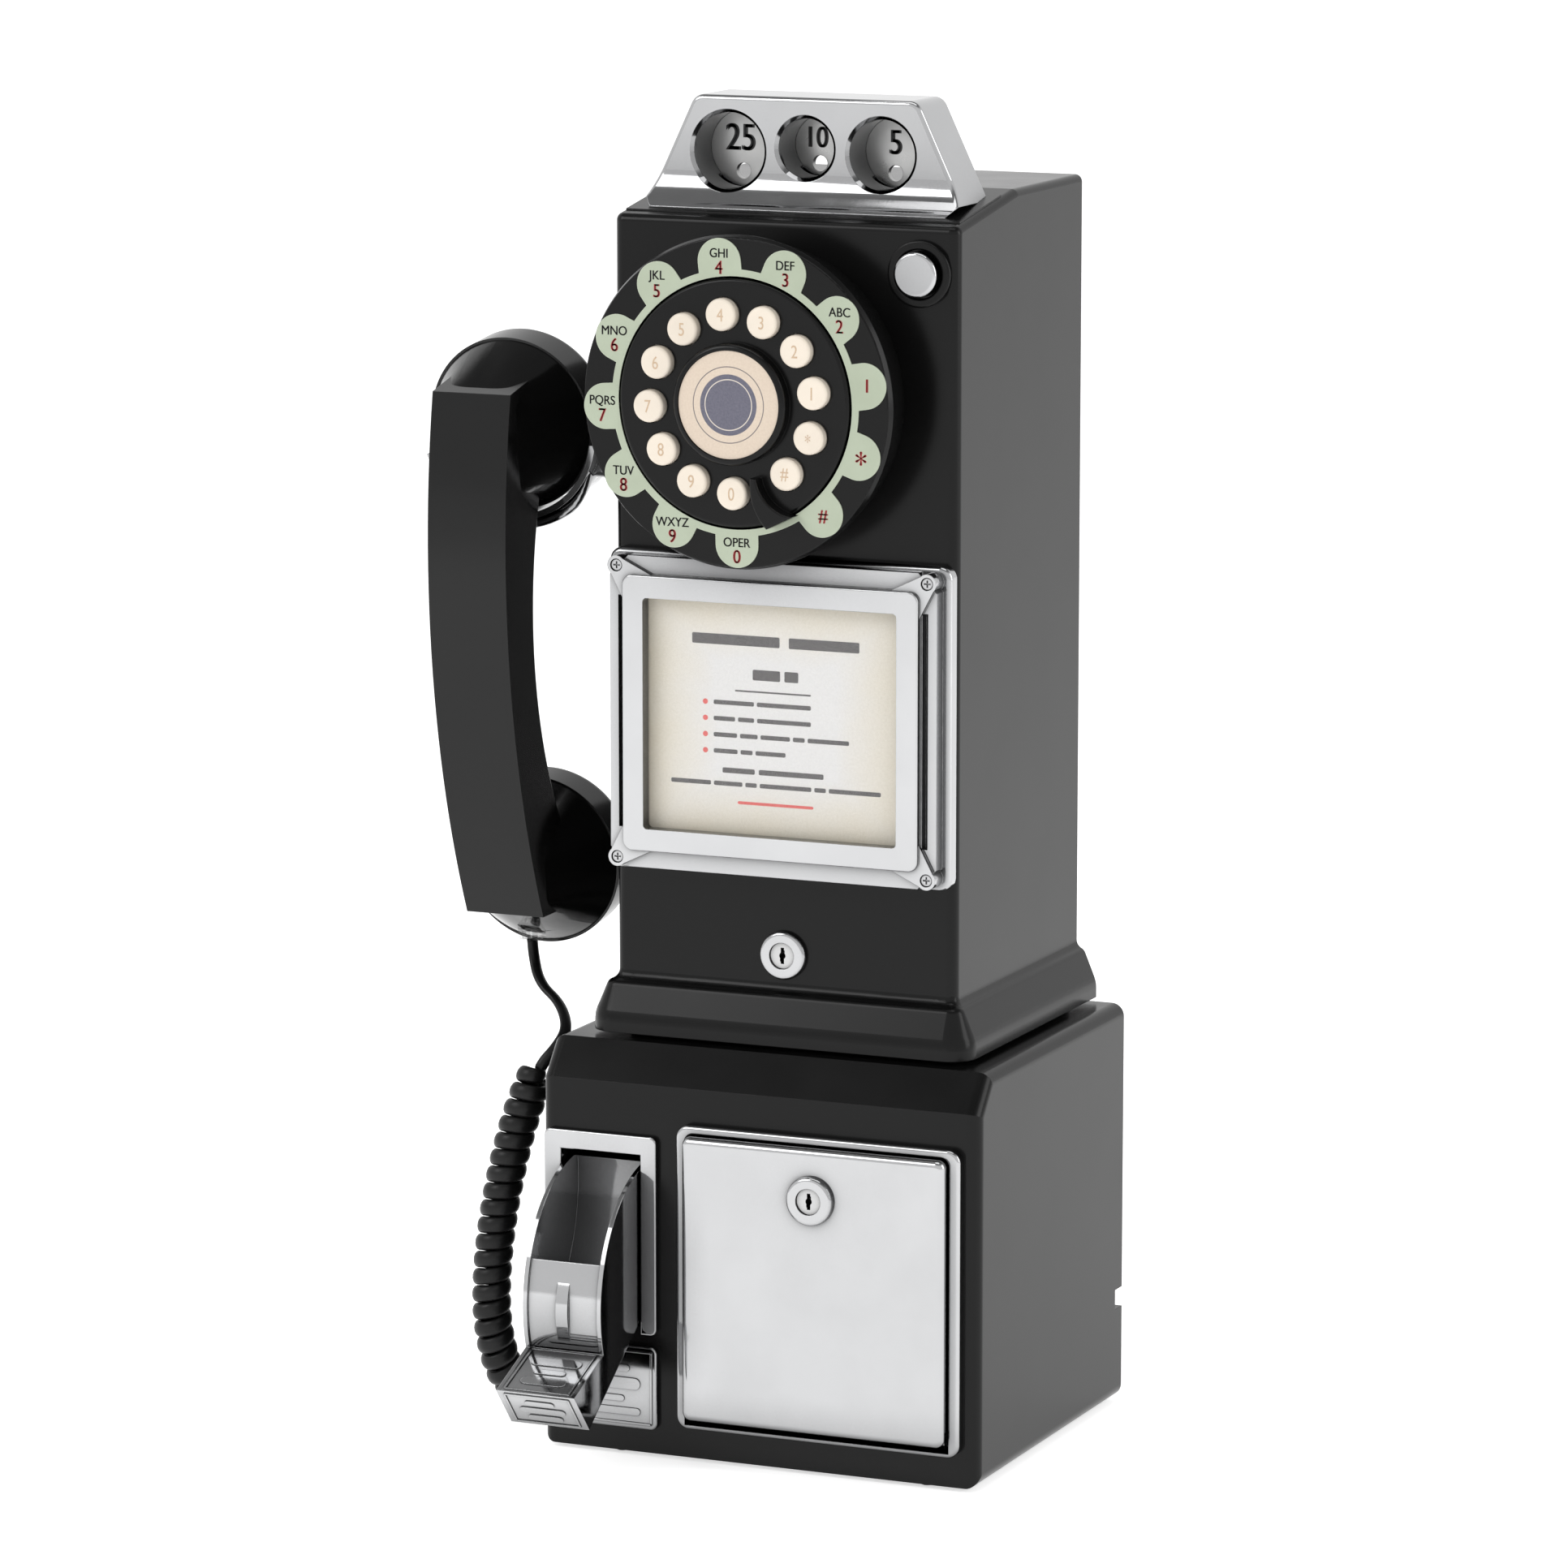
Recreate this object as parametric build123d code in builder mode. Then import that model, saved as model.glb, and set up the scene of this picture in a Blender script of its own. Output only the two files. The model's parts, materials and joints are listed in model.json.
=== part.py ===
from build123d import *
import math
import os

# Wall payphone with a handset on a curly cord.
# Millimetres. X to the right, Y into the wall, Z up.
# Origin: wall plane (Y 0), standing plane (Z 0), middle of the housing (X 0).

os.makedirs("parts", exist_ok=True)

# ---------------------------------------------------------------- dimensions
WALL = 3.0

BASE_HALF_W = 81.0
BASE_FRONT = -136.5
BASE_BOTTOM = 1.5
BASE_TOP = 143.5
SHOULDER_Z = 131.0
SHOULDER_Y = -126.0

UPPER_HALF_W = 63.0
UPPER_FRONT = -113.5
UPPER_BOTTOM = 145.0
UPPER_TOP_REAR = 434.5
UPPER_TOP_FRONT = 426.0
SLOPE_START_Y = -60.0
SKIRT_HALF_W = 70.5
SKIRT_FRONT = -122.0
SKIRT_TOP = 162.5
# how far the waist moulding's rounded shoulder reaches in and down
SKIRT_EASE_IN = 5.0
SKIRT_EASE_DOWN = 12.0
SPIGOT_HALF_W = 60.0
SPIGOT_FRONT = -108.0
SPIGOT_BOTTOM = 139.0

HEAD_FRONT = -96.0
HEAD_BACK = -73.0
HEAD_TOP = 466.0
# centre X, centre Z and bore of the coin tubes for 25, 10 and 5
GAUGES = [(-28.3, 447.2, 26.0), (0.0, 448.9, 20.2), (27.7, 447.6, 23.8)]
GAUGE_FACE = -80.5

DIAL_X = -8.6
DIAL_Z = 366.6
DIAL_FRONT = -135.0
DIAL_R = 56.4
DIAL_BACK_R = 52.3
KEY_CIRCLE_R = 30.1
LOBE_CIRCLE_R = 47.8
KEY_D = 11.0
KEY_STEP = 29.05
KEY_START = -89.0
KEY_ORDER = ["0", "9", "8", "7", "6", "5", "4", "3", "2", "1", "star", "hash"]
PLATE_R = 41.9
PLATE_FRONT = -136.5
PLATE_BACK = -134.2
KEY_TRAVEL = 1.4
MAT_FRONT = PLATE_BACK + 4.0 + KEY_TRAVEL + 0.2
BOARD_BACK = MAT_FRONT + 2.8

REDIAL_X = 49.5
REDIAL_Z = 410.3

FRAME_BOTTOM = 202.3
FRAME_TOP = 313.0
FRAME_MID_Z = (FRAME_BOTTOM + FRAME_TOP) / 2
EAR_X = 57.0
EAR_Z = 50.3

UPPER_LOCK = (0.0, 175.3)
DOOR_LOCK = (23.3, 98.3)

DOOR_X0 = -25.0
DOOR_X1 = 71.5
DOOR_Z0 = 16.5
DOOR_Z1 = 116.0
DOOR_FRONT = -145.0
DOOR_HINGE = (-140.3, 19.0)
HINGE_PIN_R = 1.0
BEZEL_X0 = -28.8
BEZEL_X1 = 75.6
BEZEL_Z0 = 12.5
BEZEL_Z1 = 119.0

RETURN_X0 = -79.0
RETURN_X1 = -36.8
RETURN_TOP = 113.3
RETURN_BOTTOM = 43.5
SLOT_X0 = -72.6
SLOT_X1 = -42.9
BUCKET_X0 = -72.3
BUCKET_X1 = -43.2
BUCKET_Y = -124.5
BUCKET_Z = 57.5
BUCKET_R = 46.0

JACK_Y = -72.0
JACK_Z = 17.0
# mouth of the line jack's recess in the back plate, and the cable notch beside it
LINE_JACK = (68.0, 38.0)

# screws of the back plate: into the lower housing, and into the upper housing
BASE_SCREWS = [(-73, 24), (73, 24), (-73, 128), (73, 128)]
UPPER_SCREWS = [(-55, 190), (55, 190), (-55, 425), (55, 425)]
KEYHOLE_HEIGHTS = (110, 390)
FEET = [(-53.5, -130.0), (60.3, -130.0)]

HANDSET_X = -112.5
EAR_CENTRE = (HANDSET_X, -80.0, 351.0)
TILT = 7.5
CAP_PITCH = 158.0
CAP_R = 30.5
HANDLE_W = 29.5

HOOK_PIVOT_X = -50.0
HOOK_PIVOT_Z = 338.0
HOOK_PIN_R = 2.0

COIL_D = 13.0
LEAD_D = 4.0


# ------------------------------------------------------------------- helpers
def front_plane(y):
    """A plane facing the viewer at depth y: local x is X, local y is Z."""
    return Plane(origin=(0, y, 0), x_dir=(1, 0, 0), z_dir=(0, -1, 0))


def side_plane(x):
    """A plane facing +X: local x is Y, local y is Z."""
    return Plane(origin=(x, 0, 0), x_dir=(0, 1, 0), z_dir=(1, 0, 0))


def save(piece, name):
    piece.part.label = name
    export_step(piece.part, f"parts/{name}.step")


def slope_z(y):
    """Height of the sloped housing top at depth y."""
    run = (y - SLOPE_START_Y) / (UPPER_FRONT - SLOPE_START_Y)
    return UPPER_TOP_REAR + run * (UPPER_TOP_FRONT - UPPER_TOP_REAR)


def dial_point(radius, degrees):
    """X and Z of a point on the dial, from its polar place."""
    angle = math.radians(degrees)
    return (DIAL_X + radius * math.cos(angle), DIAL_Z + radius * math.sin(angle))


def handset_plane(along, depth):
    """Plane across the handset's depth: local x is -X, local y is along the handle."""
    c = math.cos(math.radians(TILT))
    s = math.sin(math.radians(TILT))
    x, y, z = EAR_CENTRE
    origin = (x, y - along * s + depth * c, z + along * c + depth * s)
    return Plane(origin=origin, x_dir=(-1, 0, 0), z_dir=(0, c, s))


def cross_plane(along, depth):
    """Plane across the handle, facing up along it."""
    c = math.cos(math.radians(TILT))
    s = math.sin(math.radians(TILT))
    return Plane(origin=handset_plane(along, depth).origin, x_dir=(1, 0, 0), z_dir=(0, -s, c))


def handset_side(offset):
    """Plane along the handset: local x is depth towards the wall, local y is along."""
    c = math.cos(math.radians(TILT))
    s = math.sin(math.radians(TILT))
    x, y, z = EAR_CENTRE
    return Plane(origin=(x + offset, y, z), x_dir=(0, c, s), z_dir=(1, 0, 0))


# ------------------------------------------------------------- lower housing
with BuildPart() as lower_housing:
    with BuildSketch(side_plane(-BASE_HALF_W)):
        with BuildLine():
            Polyline(
                (0, BASE_BOTTOM),
                (BASE_FRONT, BASE_BOTTOM),
                (BASE_FRONT, SHOULDER_Z),
                (SHOULDER_Y, BASE_TOP),
                (0, BASE_TOP),
                close=True,
            )
        make_face()
    extrude(amount=2 * BASE_HALF_W)
    sides = lower_housing.faces().filter_by(Axis.X)
    fillet(sides.edges().filter_by(lambda e: e.center().Y < -1), radius=4.5)
    # hollow, open at the back
    with BuildSketch(side_plane(-BASE_HALF_W + WALL)):
        with BuildLine():
            Polyline(
                (0, BASE_BOTTOM + WALL),
                (BASE_FRONT + WALL, BASE_BOTTOM + WALL),
                (BASE_FRONT + WALL, SHOULDER_Z - 1.5),
                (SHOULDER_Y + 1.5, BASE_TOP - WALL),
                (0, BASE_TOP - WALL),
                close=True,
            )
        make_face()
    extrude(amount=2 * (BASE_HALF_W - WALL), mode=Mode.SUBTRACT)
    # opening for the spigot of the upper housing
    with BuildSketch(Plane.XY.offset(BASE_TOP - 5)):
        with Locations((0, SPIGOT_FRONT / 2 - 0.2)):
            Rectangle(2 * SPIGOT_HALF_W + 0.6, -SPIGOT_FRONT + 0.4)
    extrude(amount=10, mode=Mode.SUBTRACT)
    # coin bank mouth
    with BuildSketch(front_plane(BASE_FRONT + 6)):
        with Locations(((DOOR_X0 + DOOR_X1) / 2, (DOOR_Z0 + DOOR_Z1) / 2)):
            RectangleRounded(90, 92, 3)
    extrude(amount=10, mode=Mode.SUBTRACT)
    # coin return mouth
    with BuildSketch(front_plane(BASE_FRONT + 6)):
        with Locations(((SLOT_X0 + SLOT_X1) / 2, 76.5)):
            Rectangle(SLOT_X1 - SLOT_X0, 61)
    extrude(amount=10, mode=Mode.SUBTRACT)
    # bosses that carry the bucket's pivot pin
    for x in (-76.2, -39.3):
        with BuildSketch(side_plane(x - 1.8)):
            with Locations((BUCKET_Y, BUCKET_Z)):
                Circle(5)
            with Locations((BUCKET_Y - 5, BUCKET_Z)):
                Rectangle(9.5, 10)
            with Locations((BUCKET_Y, BUCKET_Z)):
                Circle(2.0, mode=Mode.SUBTRACT)
        extrude(amount=3.6)
    # cable notch at the rear of the right side
    with BuildSketch(side_plane(BASE_HALF_W - 6)):
        with Locations((-3.2, 38)):
            Rectangle(6.8, 7)
    extrude(amount=10, mode=Mode.SUBTRACT)
    # notches that let the back plate's nibs reach the floor
    with BuildSketch(Plane.XY):
        with Locations((-55, -1.5), (0, -1.5), (55, -1.5)):
            Rectangle(8.4, 3.4)
    extrude(amount=6, mode=Mode.SUBTRACT)
    # two feet under the front edge
    with BuildSketch(Plane.XY):
        with Locations(*FEET):
            Circle(2.2)
    extrude(amount=BASE_BOTTOM + 1.0)
    # lugs for the back plate screws
    with BuildSketch(front_plane(-3.2)):
        with Locations(*BASE_SCREWS):
            Rectangle(10, 10)
            Circle(1.3, mode=Mode.SUBTRACT)
    extrude(amount=9)
    # square hole of the handset jack in the left side
    with BuildSketch(side_plane(-BASE_HALF_W - 2)):
        with Locations((JACK_Y, JACK_Z)):
            Rectangle(8.0, 7.0)
    extrude(amount=8, mode=Mode.SUBTRACT)
save(lower_housing, "lower_housing")

# ------------------------------------------------------------- upper housing
with BuildPart() as upper_housing:
    # waist moulding
    with BuildSketch(Plane.XY.offset(UPPER_BOTTOM)):
        with Locations((0, SKIRT_FRONT / 2)):
            Rectangle(2 * SKIRT_HALF_W, -SKIRT_FRONT)
    extrude(amount=SKIRT_TOP - UPPER_BOTTOM)
    corners = upper_housing.edges().filter_by(Axis.Z).group_by(Axis.Y)[0]
    fillet(corners, radius=9)
    moulding_top = upper_housing.faces().sort_by(Axis.Z)[-1]
    rim = moulding_top.edges().filter_by(lambda e: e.center().Y < -1)
    chamfer(rim, length=SKIRT_EASE_IN, length2=SKIRT_EASE_DOWN, reference=moulding_top)
    shoulder = upper_housing.edges().filter_by(
        lambda e: e.center().Y < -1 and abs(e.center().Z - SKIRT_TOP + SKIRT_EASE_DOWN) < 0.1
    )
    fillet(shoulder, radius=10)
    crest = upper_housing.faces().sort_by(Axis.Z)[-1].edges()
    fillet(crest.filter_by(lambda e: e.center().Y < -1), radius=3)
    # tall body with the sloped top
    with BuildSketch(side_plane(-UPPER_HALF_W)):
        with BuildLine():
            Polyline(
                (0, UPPER_BOTTOM + 2),
                (UPPER_FRONT, UPPER_BOTTOM + 2),
                (UPPER_FRONT, UPPER_TOP_FRONT),
                (SLOPE_START_Y, UPPER_TOP_REAR),
                (0, UPPER_TOP_REAR),
                close=True,
            )
        make_face()
    extrude(amount=2 * UPPER_HALF_W)
    tall = upper_housing.edges().filter_by(Axis.Z).filter_by(
        lambda e: e.length > 200 and e.center().Y < -100
    )
    fillet(tall, radius=3.5)
    top = upper_housing.edges().filter_by(
        lambda e: e.center().Z > 420 and e.center().Y < -1
    )
    crease = top.filter_by(Axis.X).filter_by(lambda e: e.center().Z > 430)
    fillet(top - crease, radius=2.6)
    cove = upper_housing.edges().filter_by(
        lambda e: abs(e.center().Z - SKIRT_TOP) < 0.2 and e.center().Y < -1
    )
    cove = cove.filter_by(
        lambda e: abs(e.center().X) < UPPER_HALF_W + 0.5 and e.center().Y > UPPER_FRONT - 0.5
    )
    fillet(cove, radius=3.4)
    # spigot that drops into the lower housing
    with BuildSketch(Plane.XY.offset(SPIGOT_BOTTOM)):
        with Locations((0, SPIGOT_FRONT / 2)):
            Rectangle(2 * SPIGOT_HALF_W, -SPIGOT_FRONT)
    extrude(amount=UPPER_BOTTOM - SPIGOT_BOTTOM + 1)
    # hollow, open at the back and at the bottom
    with BuildSketch(side_plane(-UPPER_HALF_W + WALL)):
        with BuildLine():
            Polyline(
                (0, SKIRT_TOP - 2),
                (UPPER_FRONT + WALL, SKIRT_TOP - 2),
                (UPPER_FRONT + WALL, UPPER_TOP_FRONT - WALL),
                (SLOPE_START_Y, UPPER_TOP_REAR - WALL),
                (0, UPPER_TOP_REAR - WALL),
                close=True,
            )
        make_face()
    extrude(amount=2 * (UPPER_HALF_W - WALL), mode=Mode.SUBTRACT)
    with BuildSketch(Plane.XY.offset(SPIGOT_BOTTOM - 1)):
        with Locations((0, SPIGOT_FRONT / 2 + 1)):
            Rectangle(2 * SPIGOT_HALF_W - 4, -SPIGOT_FRONT - 2)
    extrude(amount=SKIRT_TOP - SPIGOT_BOTTOM, mode=Mode.SUBTRACT)
    # raised seat of the coin head
    with BuildSketch(side_plane(-61)):
        with BuildLine():
            Polyline(
                (-70.5, slope_z(-70.5) - 1.5),
                (-107.5, slope_z(-107.5) - 1.5),
                (-107.5, slope_z(-107.5) + 0.5),
                (-70.5, slope_z(-70.5) + 0.5),
                close=True,
            )
        make_face()
    extrude(amount=122)
    # pad behind the instruction card
    with BuildSketch(front_plane(UPPER_FRONT + 0.5)):
        with Locations((0, FRAME_MID_Z)):
            Rectangle(98, 85)
    extrude(amount=7.3)
    # cheeks inside the left wall that hold the hook's pin
    for y in (-82.4, -67.6):
        with BuildSketch(front_plane(y)):
            with Locations((-53, HOOK_PIVOT_Z)):
                Rectangle(16.8, 28)
            with Locations((HOOK_PIVOT_X, HOOK_PIVOT_Z)):
                Circle(HOOK_PIN_R, mode=Mode.SUBTRACT)
        extrude(amount=2)
    # coin drops through the top
    with BuildSketch(Plane.XY.offset(420)):
        with Locations((0, GAUGE_FACE - 2)):
            Rectangle(80, 4.4)
    extrude(amount=20, mode=Mode.SUBTRACT)
    # round mouth behind the dial
    with BuildSketch(front_plane(UPPER_FRONT + 6)):
        with Locations((DIAL_X, DIAL_Z)):
            Circle(36)
    extrude(amount=10, mode=Mode.SUBTRACT)
    # hole of the redial button
    with BuildSketch(front_plane(UPPER_FRONT + 6)):
        with Locations((REDIAL_X, REDIAL_Z)):
            Circle(5.2)
    extrude(amount=10, mode=Mode.SUBTRACT)
    # holes of the card frame screws and of the upper lock
    with BuildSketch(front_plane(UPPER_FRONT + 6)):
        with Locations((0, FRAME_MID_Z)):
            with GridLocations(2 * EAR_X, 2 * EAR_Z, 2, 2):
                Circle(1.15)
        with Locations(UPPER_LOCK):
            Circle(6.1)
    extrude(amount=10, mode=Mode.SUBTRACT)
    # slot of the hook lever in the left side
    with BuildSketch(side_plane(-UPPER_HALF_W - 1)):
        with Locations((-79, HOOK_PIVOT_Z)):
            Rectangle(22, 17)
    extrude(amount=6, mode=Mode.SUBTRACT)
    # lugs for the back plate screws
    with BuildSketch(front_plane(-3.2)):
        with Locations(*UPPER_SCREWS):
            Rectangle(10.4, 10)
            Circle(1.3, mode=Mode.SUBTRACT)
    extrude(amount=9)
save(upper_housing, "upper_housing")

# ---------------------------------------------------------------- back plate
with BuildPart() as back_plate:
    with BuildSketch(front_plane(0)):
        with Locations((0, (4.8 + 138.8) / 2)):
            Rectangle(2 * (BASE_HALF_W - WALL) - 0.4, 138.8 - 4.8)
        with Locations((0, (138 + 431.2) / 2)):
            Rectangle(2 * (SPIGOT_HALF_W - 2) - 0.6, 431.2 - 138)
        # nibs that reach the standing plane
        with Locations((-55, 3), (0, 3), (55, 3)):
            Rectangle(8, 6)
        # keyholes
        for z in KEYHOLE_HEIGHTS:
            with Locations((0, z)):
                Circle(4.5, mode=Mode.SUBTRACT)
            with Locations((0, z + 6)):
                SlotCenterToCenter(7, 4.4, rotation=90, mode=Mode.SUBTRACT)
        # mouth of the line jack's recess
        with Locations(LINE_JACK):
            Rectangle(20, 14, mode=Mode.SUBTRACT)
        # screw holes
        with Locations(*BASE_SCREWS):
            Circle(1.7, mode=Mode.SUBTRACT)
        with Locations(*UPPER_SCREWS):
            Circle(1.7, mode=Mode.SUBTRACT)
    extrude(amount=3)
save(back_plate, "back_plate")

with BuildPart() as back_screws:
    with BuildSketch(front_plane(0)):
        with Locations(*BASE_SCREWS):
            Circle(1.6)
        with Locations(*UPPER_SCREWS):
            Circle(1.6)
    extrude(amount=3)
    with BuildSketch(front_plane(-3)):
        with Locations(*BASE_SCREWS):
            Circle(1.2)
        with Locations(*UPPER_SCREWS):
            Circle(1.2)
    extrude(amount=7)
save(back_screws, "back_screws")

# ----------------------------------------------------------------- coin head
with BuildPart() as coin_head:
    # outline seen from the front
    with BuildSketch(front_plane(HEAD_BACK)):
        with BuildLine():
            Polyline(
                (-53.5, 420),
                (-53.5, 427.5),
                (-57.2, 431.5),
                (-40.8, HEAD_TOP),
                (40.8, HEAD_TOP),
                (57.2, 431.5),
                (53.5, 427.5),
                (53.5, 420),
                close=True,
            )
        make_face()
    extrude(amount=32)
    shoulders = coin_head.edges().filter_by(Axis.Y).group_by(Axis.Z)[-1]
    fillet(shoulders, radius=5)
    # outline seen from the side, with the swept lip at the foot
    with BuildSketch(side_plane(-70)):
        with BuildLine():
            foot_z = slope_z(-103.5) + 0.5
            Line((HEAD_BACK, slope_z(HEAD_BACK) + 0.5), (HEAD_BACK, HEAD_TOP + 5))
            Line((HEAD_BACK, HEAD_TOP + 5), (HEAD_FRONT, HEAD_TOP + 5))
            Line((HEAD_FRONT, HEAD_TOP + 5), (HEAD_FRONT, 440))
            ThreePointArc((HEAD_FRONT, 440), (HEAD_FRONT - 1.8, 434.2), (-102.6, foot_z + 1.2))
            Line((-102.6, foot_z + 1.2), (-103.5, foot_z))
            Line((-103.5, foot_z), (HEAD_BACK, slope_z(HEAD_BACK) + 0.5))
        make_face()
    extrude(amount=140, mode=Mode.INTERSECT)
    face_rim = coin_head.faces().filter_by(Axis.Y).sort_by(Axis.Y)[0].edges()
    fillet(face_rim.filter_by(lambda e: e.center().Z > 441), radius=1.6)
    # coin tubes
    for tube_x, tube_z, tube_d in GAUGES:
        with BuildSketch(front_plane(HEAD_BACK + 1)):
            with Locations((tube_x, tube_z)):
                Circle(tube_d / 2)
        extrude(amount=40, mode=Mode.SUBTRACT)
    mouths = coin_head.edges().filter_by(GeomType.CIRCLE).filter_by(
        lambda e: abs(e.center().Y - HEAD_FRONT) < 0.1 and e.radius > 9
    )
    chamfer(mouths, length=1.2)
    # coin drops in the floor of each tube
    for tube_x, tube_z, tube_d in GAUGES:
        with BuildSketch(Plane.XY.offset(420)):
            with Locations((tube_x, GAUGE_FACE - 2)):
                Rectangle(tube_d * 0.72, 3.2)
        extrude(amount=tube_z - 420, mode=Mode.SUBTRACT)
save(coin_head, "coin_head")

with BuildPart() as gauge_plates:
    with BuildSketch(front_plane(GAUGE_FACE + 2.4)):
        for tube_x, tube_z, tube_d in GAUGES:
            with Locations((tube_x, tube_z)):
                Circle(tube_d / 2)
            with Locations((tube_x - 1, tube_z - tube_d * 0.31)):
                Circle(2.7, mode=Mode.SUBTRACT)
    extrude(amount=2.4)
save(gauge_plates, "gauge_plates")

# ---------------------------------------------------------------- coin chute
CHUTE_BACK = GAUGE_FACE + 0.2
with BuildPart() as coin_chute:
    # hopper under the head
    with BuildSketch(front_plane(CHUTE_BACK + 1.6)):
        with BuildLine():
            Polyline((-46, 424.0), (-46, 416), (0, 385), (10, 385), (46, 416), (46, 424.0), close=True)
        make_face()
    extrude(amount=8.4)
    with BuildSketch(front_plane(CHUTE_BACK)):
        with BuildLine():
            Polyline((-44, 430), (-44, 417), (2, 386), (8, 386), (44, 417), (44, 430), close=True)
        make_face()
    extrude(amount=5.2, mode=Mode.SUBTRACT)
    # straight drop
    with BuildSketch(Plane.XY.offset(126)):
        with Locations((24, CHUTE_BACK - 2.6)):
            Rectangle(34, 8.4)
            Rectangle(30, 5.2, mode=Mode.SUBTRACT)
    extrude(amount=285)
    with BuildSketch(front_plane(CHUTE_BACK)):
        with Locations((24, 392)):
            Rectangle(30, 30)
    extrude(amount=5.2, mode=Mode.SUBTRACT)
    with BuildSketch(front_plane(CHUTE_BACK)):
        with BuildLine():
            Polyline((-44, 425), (-44, 417), (2, 386), (8, 386), (44, 417), (44, 425), close=True)
        make_face()
    extrude(amount=5.2, mode=Mode.SUBTRACT)
save(coin_chute, "coin_chute")

# ------------------------------------------------------------------ coin bin
with BuildPart() as coin_bin:
    with BuildSketch(Plane.XY.offset(BASE_BOTTOM + WALL + 0.2)):
        with Locations((23.3, -79)):
            RectangleRounded(104, 98, 3)
    extrude(amount=100)
    with BuildSketch(Plane.XY.offset(BASE_BOTTOM + WALL + 2.2)):
        with Locations((23.3, -83)):
            Rectangle(100, 102)
    extrude(amount=100, mode=Mode.SUBTRACT)
save(coin_bin, "coin_bin")

# ---------------------------------------------------------------------- dial
with BuildPart() as dial_housing:
    dial_plane = Plane(origin=(DIAL_X, UPPER_FRONT, DIAL_Z), x_dir=(1, 0, 0), z_dir=(0, 0, 1))
    with BuildSketch(dial_plane):
        with BuildLine():
            Polyline(
                (42.6, 0),
                (DIAL_BACK_R, 0),
                (DIAL_R, DIAL_FRONT - UPPER_FRONT + 2.2),
                (DIAL_R - 1.0, DIAL_FRONT - UPPER_FRONT),
                (42.6, DIAL_FRONT - UPPER_FRONT),
                close=True,
            )
        make_face()
    revolve(axis=Axis((DIAL_X, 0, DIAL_Z), (0, 1, 0)), revolution_arc=360)
    lip = dial_housing.edges().filter_by(GeomType.CIRCLE).sort_by(lambda e: e.radius)[-2:]
    fillet(lip, radius=0.6)
    # floor, and the ring that carries the keypad board
    with BuildSketch(front_plane(UPPER_FRONT)):
        with Locations((DIAL_X, DIAL_Z)):
            Circle(43)
            Circle(33, mode=Mode.SUBTRACT)
    extrude(amount=2)
    with BuildSketch(front_plane(UPPER_FRONT - 2)):
        with Locations((DIAL_X, DIAL_Z)):
            Circle(37)
            Circle(34, mode=Mode.SUBTRACT)
    extrude(amount=UPPER_FRONT - 2 - BOARD_BACK)
save(dial_housing, "dial_housing")

with BuildPart() as number_ring:
    with BuildSketch(front_plane(DIAL_FRONT)):
        with Locations((DIAL_X, DIAL_Z)):
            Circle(45)
        for step in range(12):
            angle = KEY_START - KEY_STEP * step
            with Locations(dial_point(LOBE_CIRCLE_R - 0.1, angle)):
                Circle(7.8)
            with Locations(Location((*dial_point(44, angle), 0), (0, 0, angle))):
                Rectangle(8, 15.6)
        with Locations((DIAL_X, DIAL_Z)):
            Circle(42.6, mode=Mode.SUBTRACT)
    extrude(amount=0.5)
save(number_ring, "number_ring")

with BuildPart() as keypad_plate:
    with BuildSketch(front_plane(PLATE_BACK)):
        with Locations((DIAL_X, DIAL_Z)):
            Circle(PLATE_R)
    extrude(amount=PLATE_BACK - PLATE_FRONT)
    rim = keypad_plate.edges().filter_by(GeomType.CIRCLE).group_by(Axis.Y)[0]
    fillet(rim, radius=1.2)
    # raised ring round the centre label
    with BuildSketch(front_plane(PLATE_FRONT)):
        with Locations((DIAL_X, DIAL_Z)):
            Circle(20.6)
    extrude(amount=4.6)
    crown = keypad_plate.edges().filter_by(GeomType.CIRCLE).group_by(Axis.Y)[0]
    fillet(crown, radius=1.8)
    with BuildSketch(front_plane(PLATE_FRONT - 3.6)):
        with Locations((DIAL_X, DIAL_Z)):
            Circle(18.4)
    extrude(amount=4, mode=Mode.SUBTRACT)
    # finger stop between 0 and hash
    with BuildSketch(front_plane(PLATE_FRONT + 0.5)):
        tip_a = dial_point(25.5, -71)
        tip_b = dial_point(26.5, -67)
        rim_a = dial_point(43.4, -71)
        rim_b = dial_point(43.4, -57)
        with BuildLine():
            ThreePointArc(tip_a, dial_point(35, -74.5), rim_a)
            Line(rim_a, rim_b)
            ThreePointArc(rim_b, dial_point(34.5, -66.2), tip_b)
            Line(tip_b, tip_a)
        make_face()
    extrude(amount=6.0)
    fillet(keypad_plate.faces().sort_by(Axis.Y)[0].edges(), radius=0.7)
    # skirt that carries the plate on the dial floor
    with BuildSketch(front_plane(UPPER_FRONT - 2)):
        with Locations((DIAL_X, DIAL_Z)):
            Circle(41.6)
            Circle(39.2, mode=Mode.SUBTRACT)
    extrude(amount=UPPER_FRONT - 2 - PLATE_BACK)
    # key holes
    with BuildSketch(front_plane(PLATE_BACK + 1)):
        for step in range(12):
            with Locations(dial_point(KEY_CIRCLE_R, KEY_START - KEY_STEP * step)):
                Circle(KEY_D / 2 + 0.35)
    extrude(amount=8, mode=Mode.SUBTRACT)
save(keypad_plate, "keypad_plate")

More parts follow.
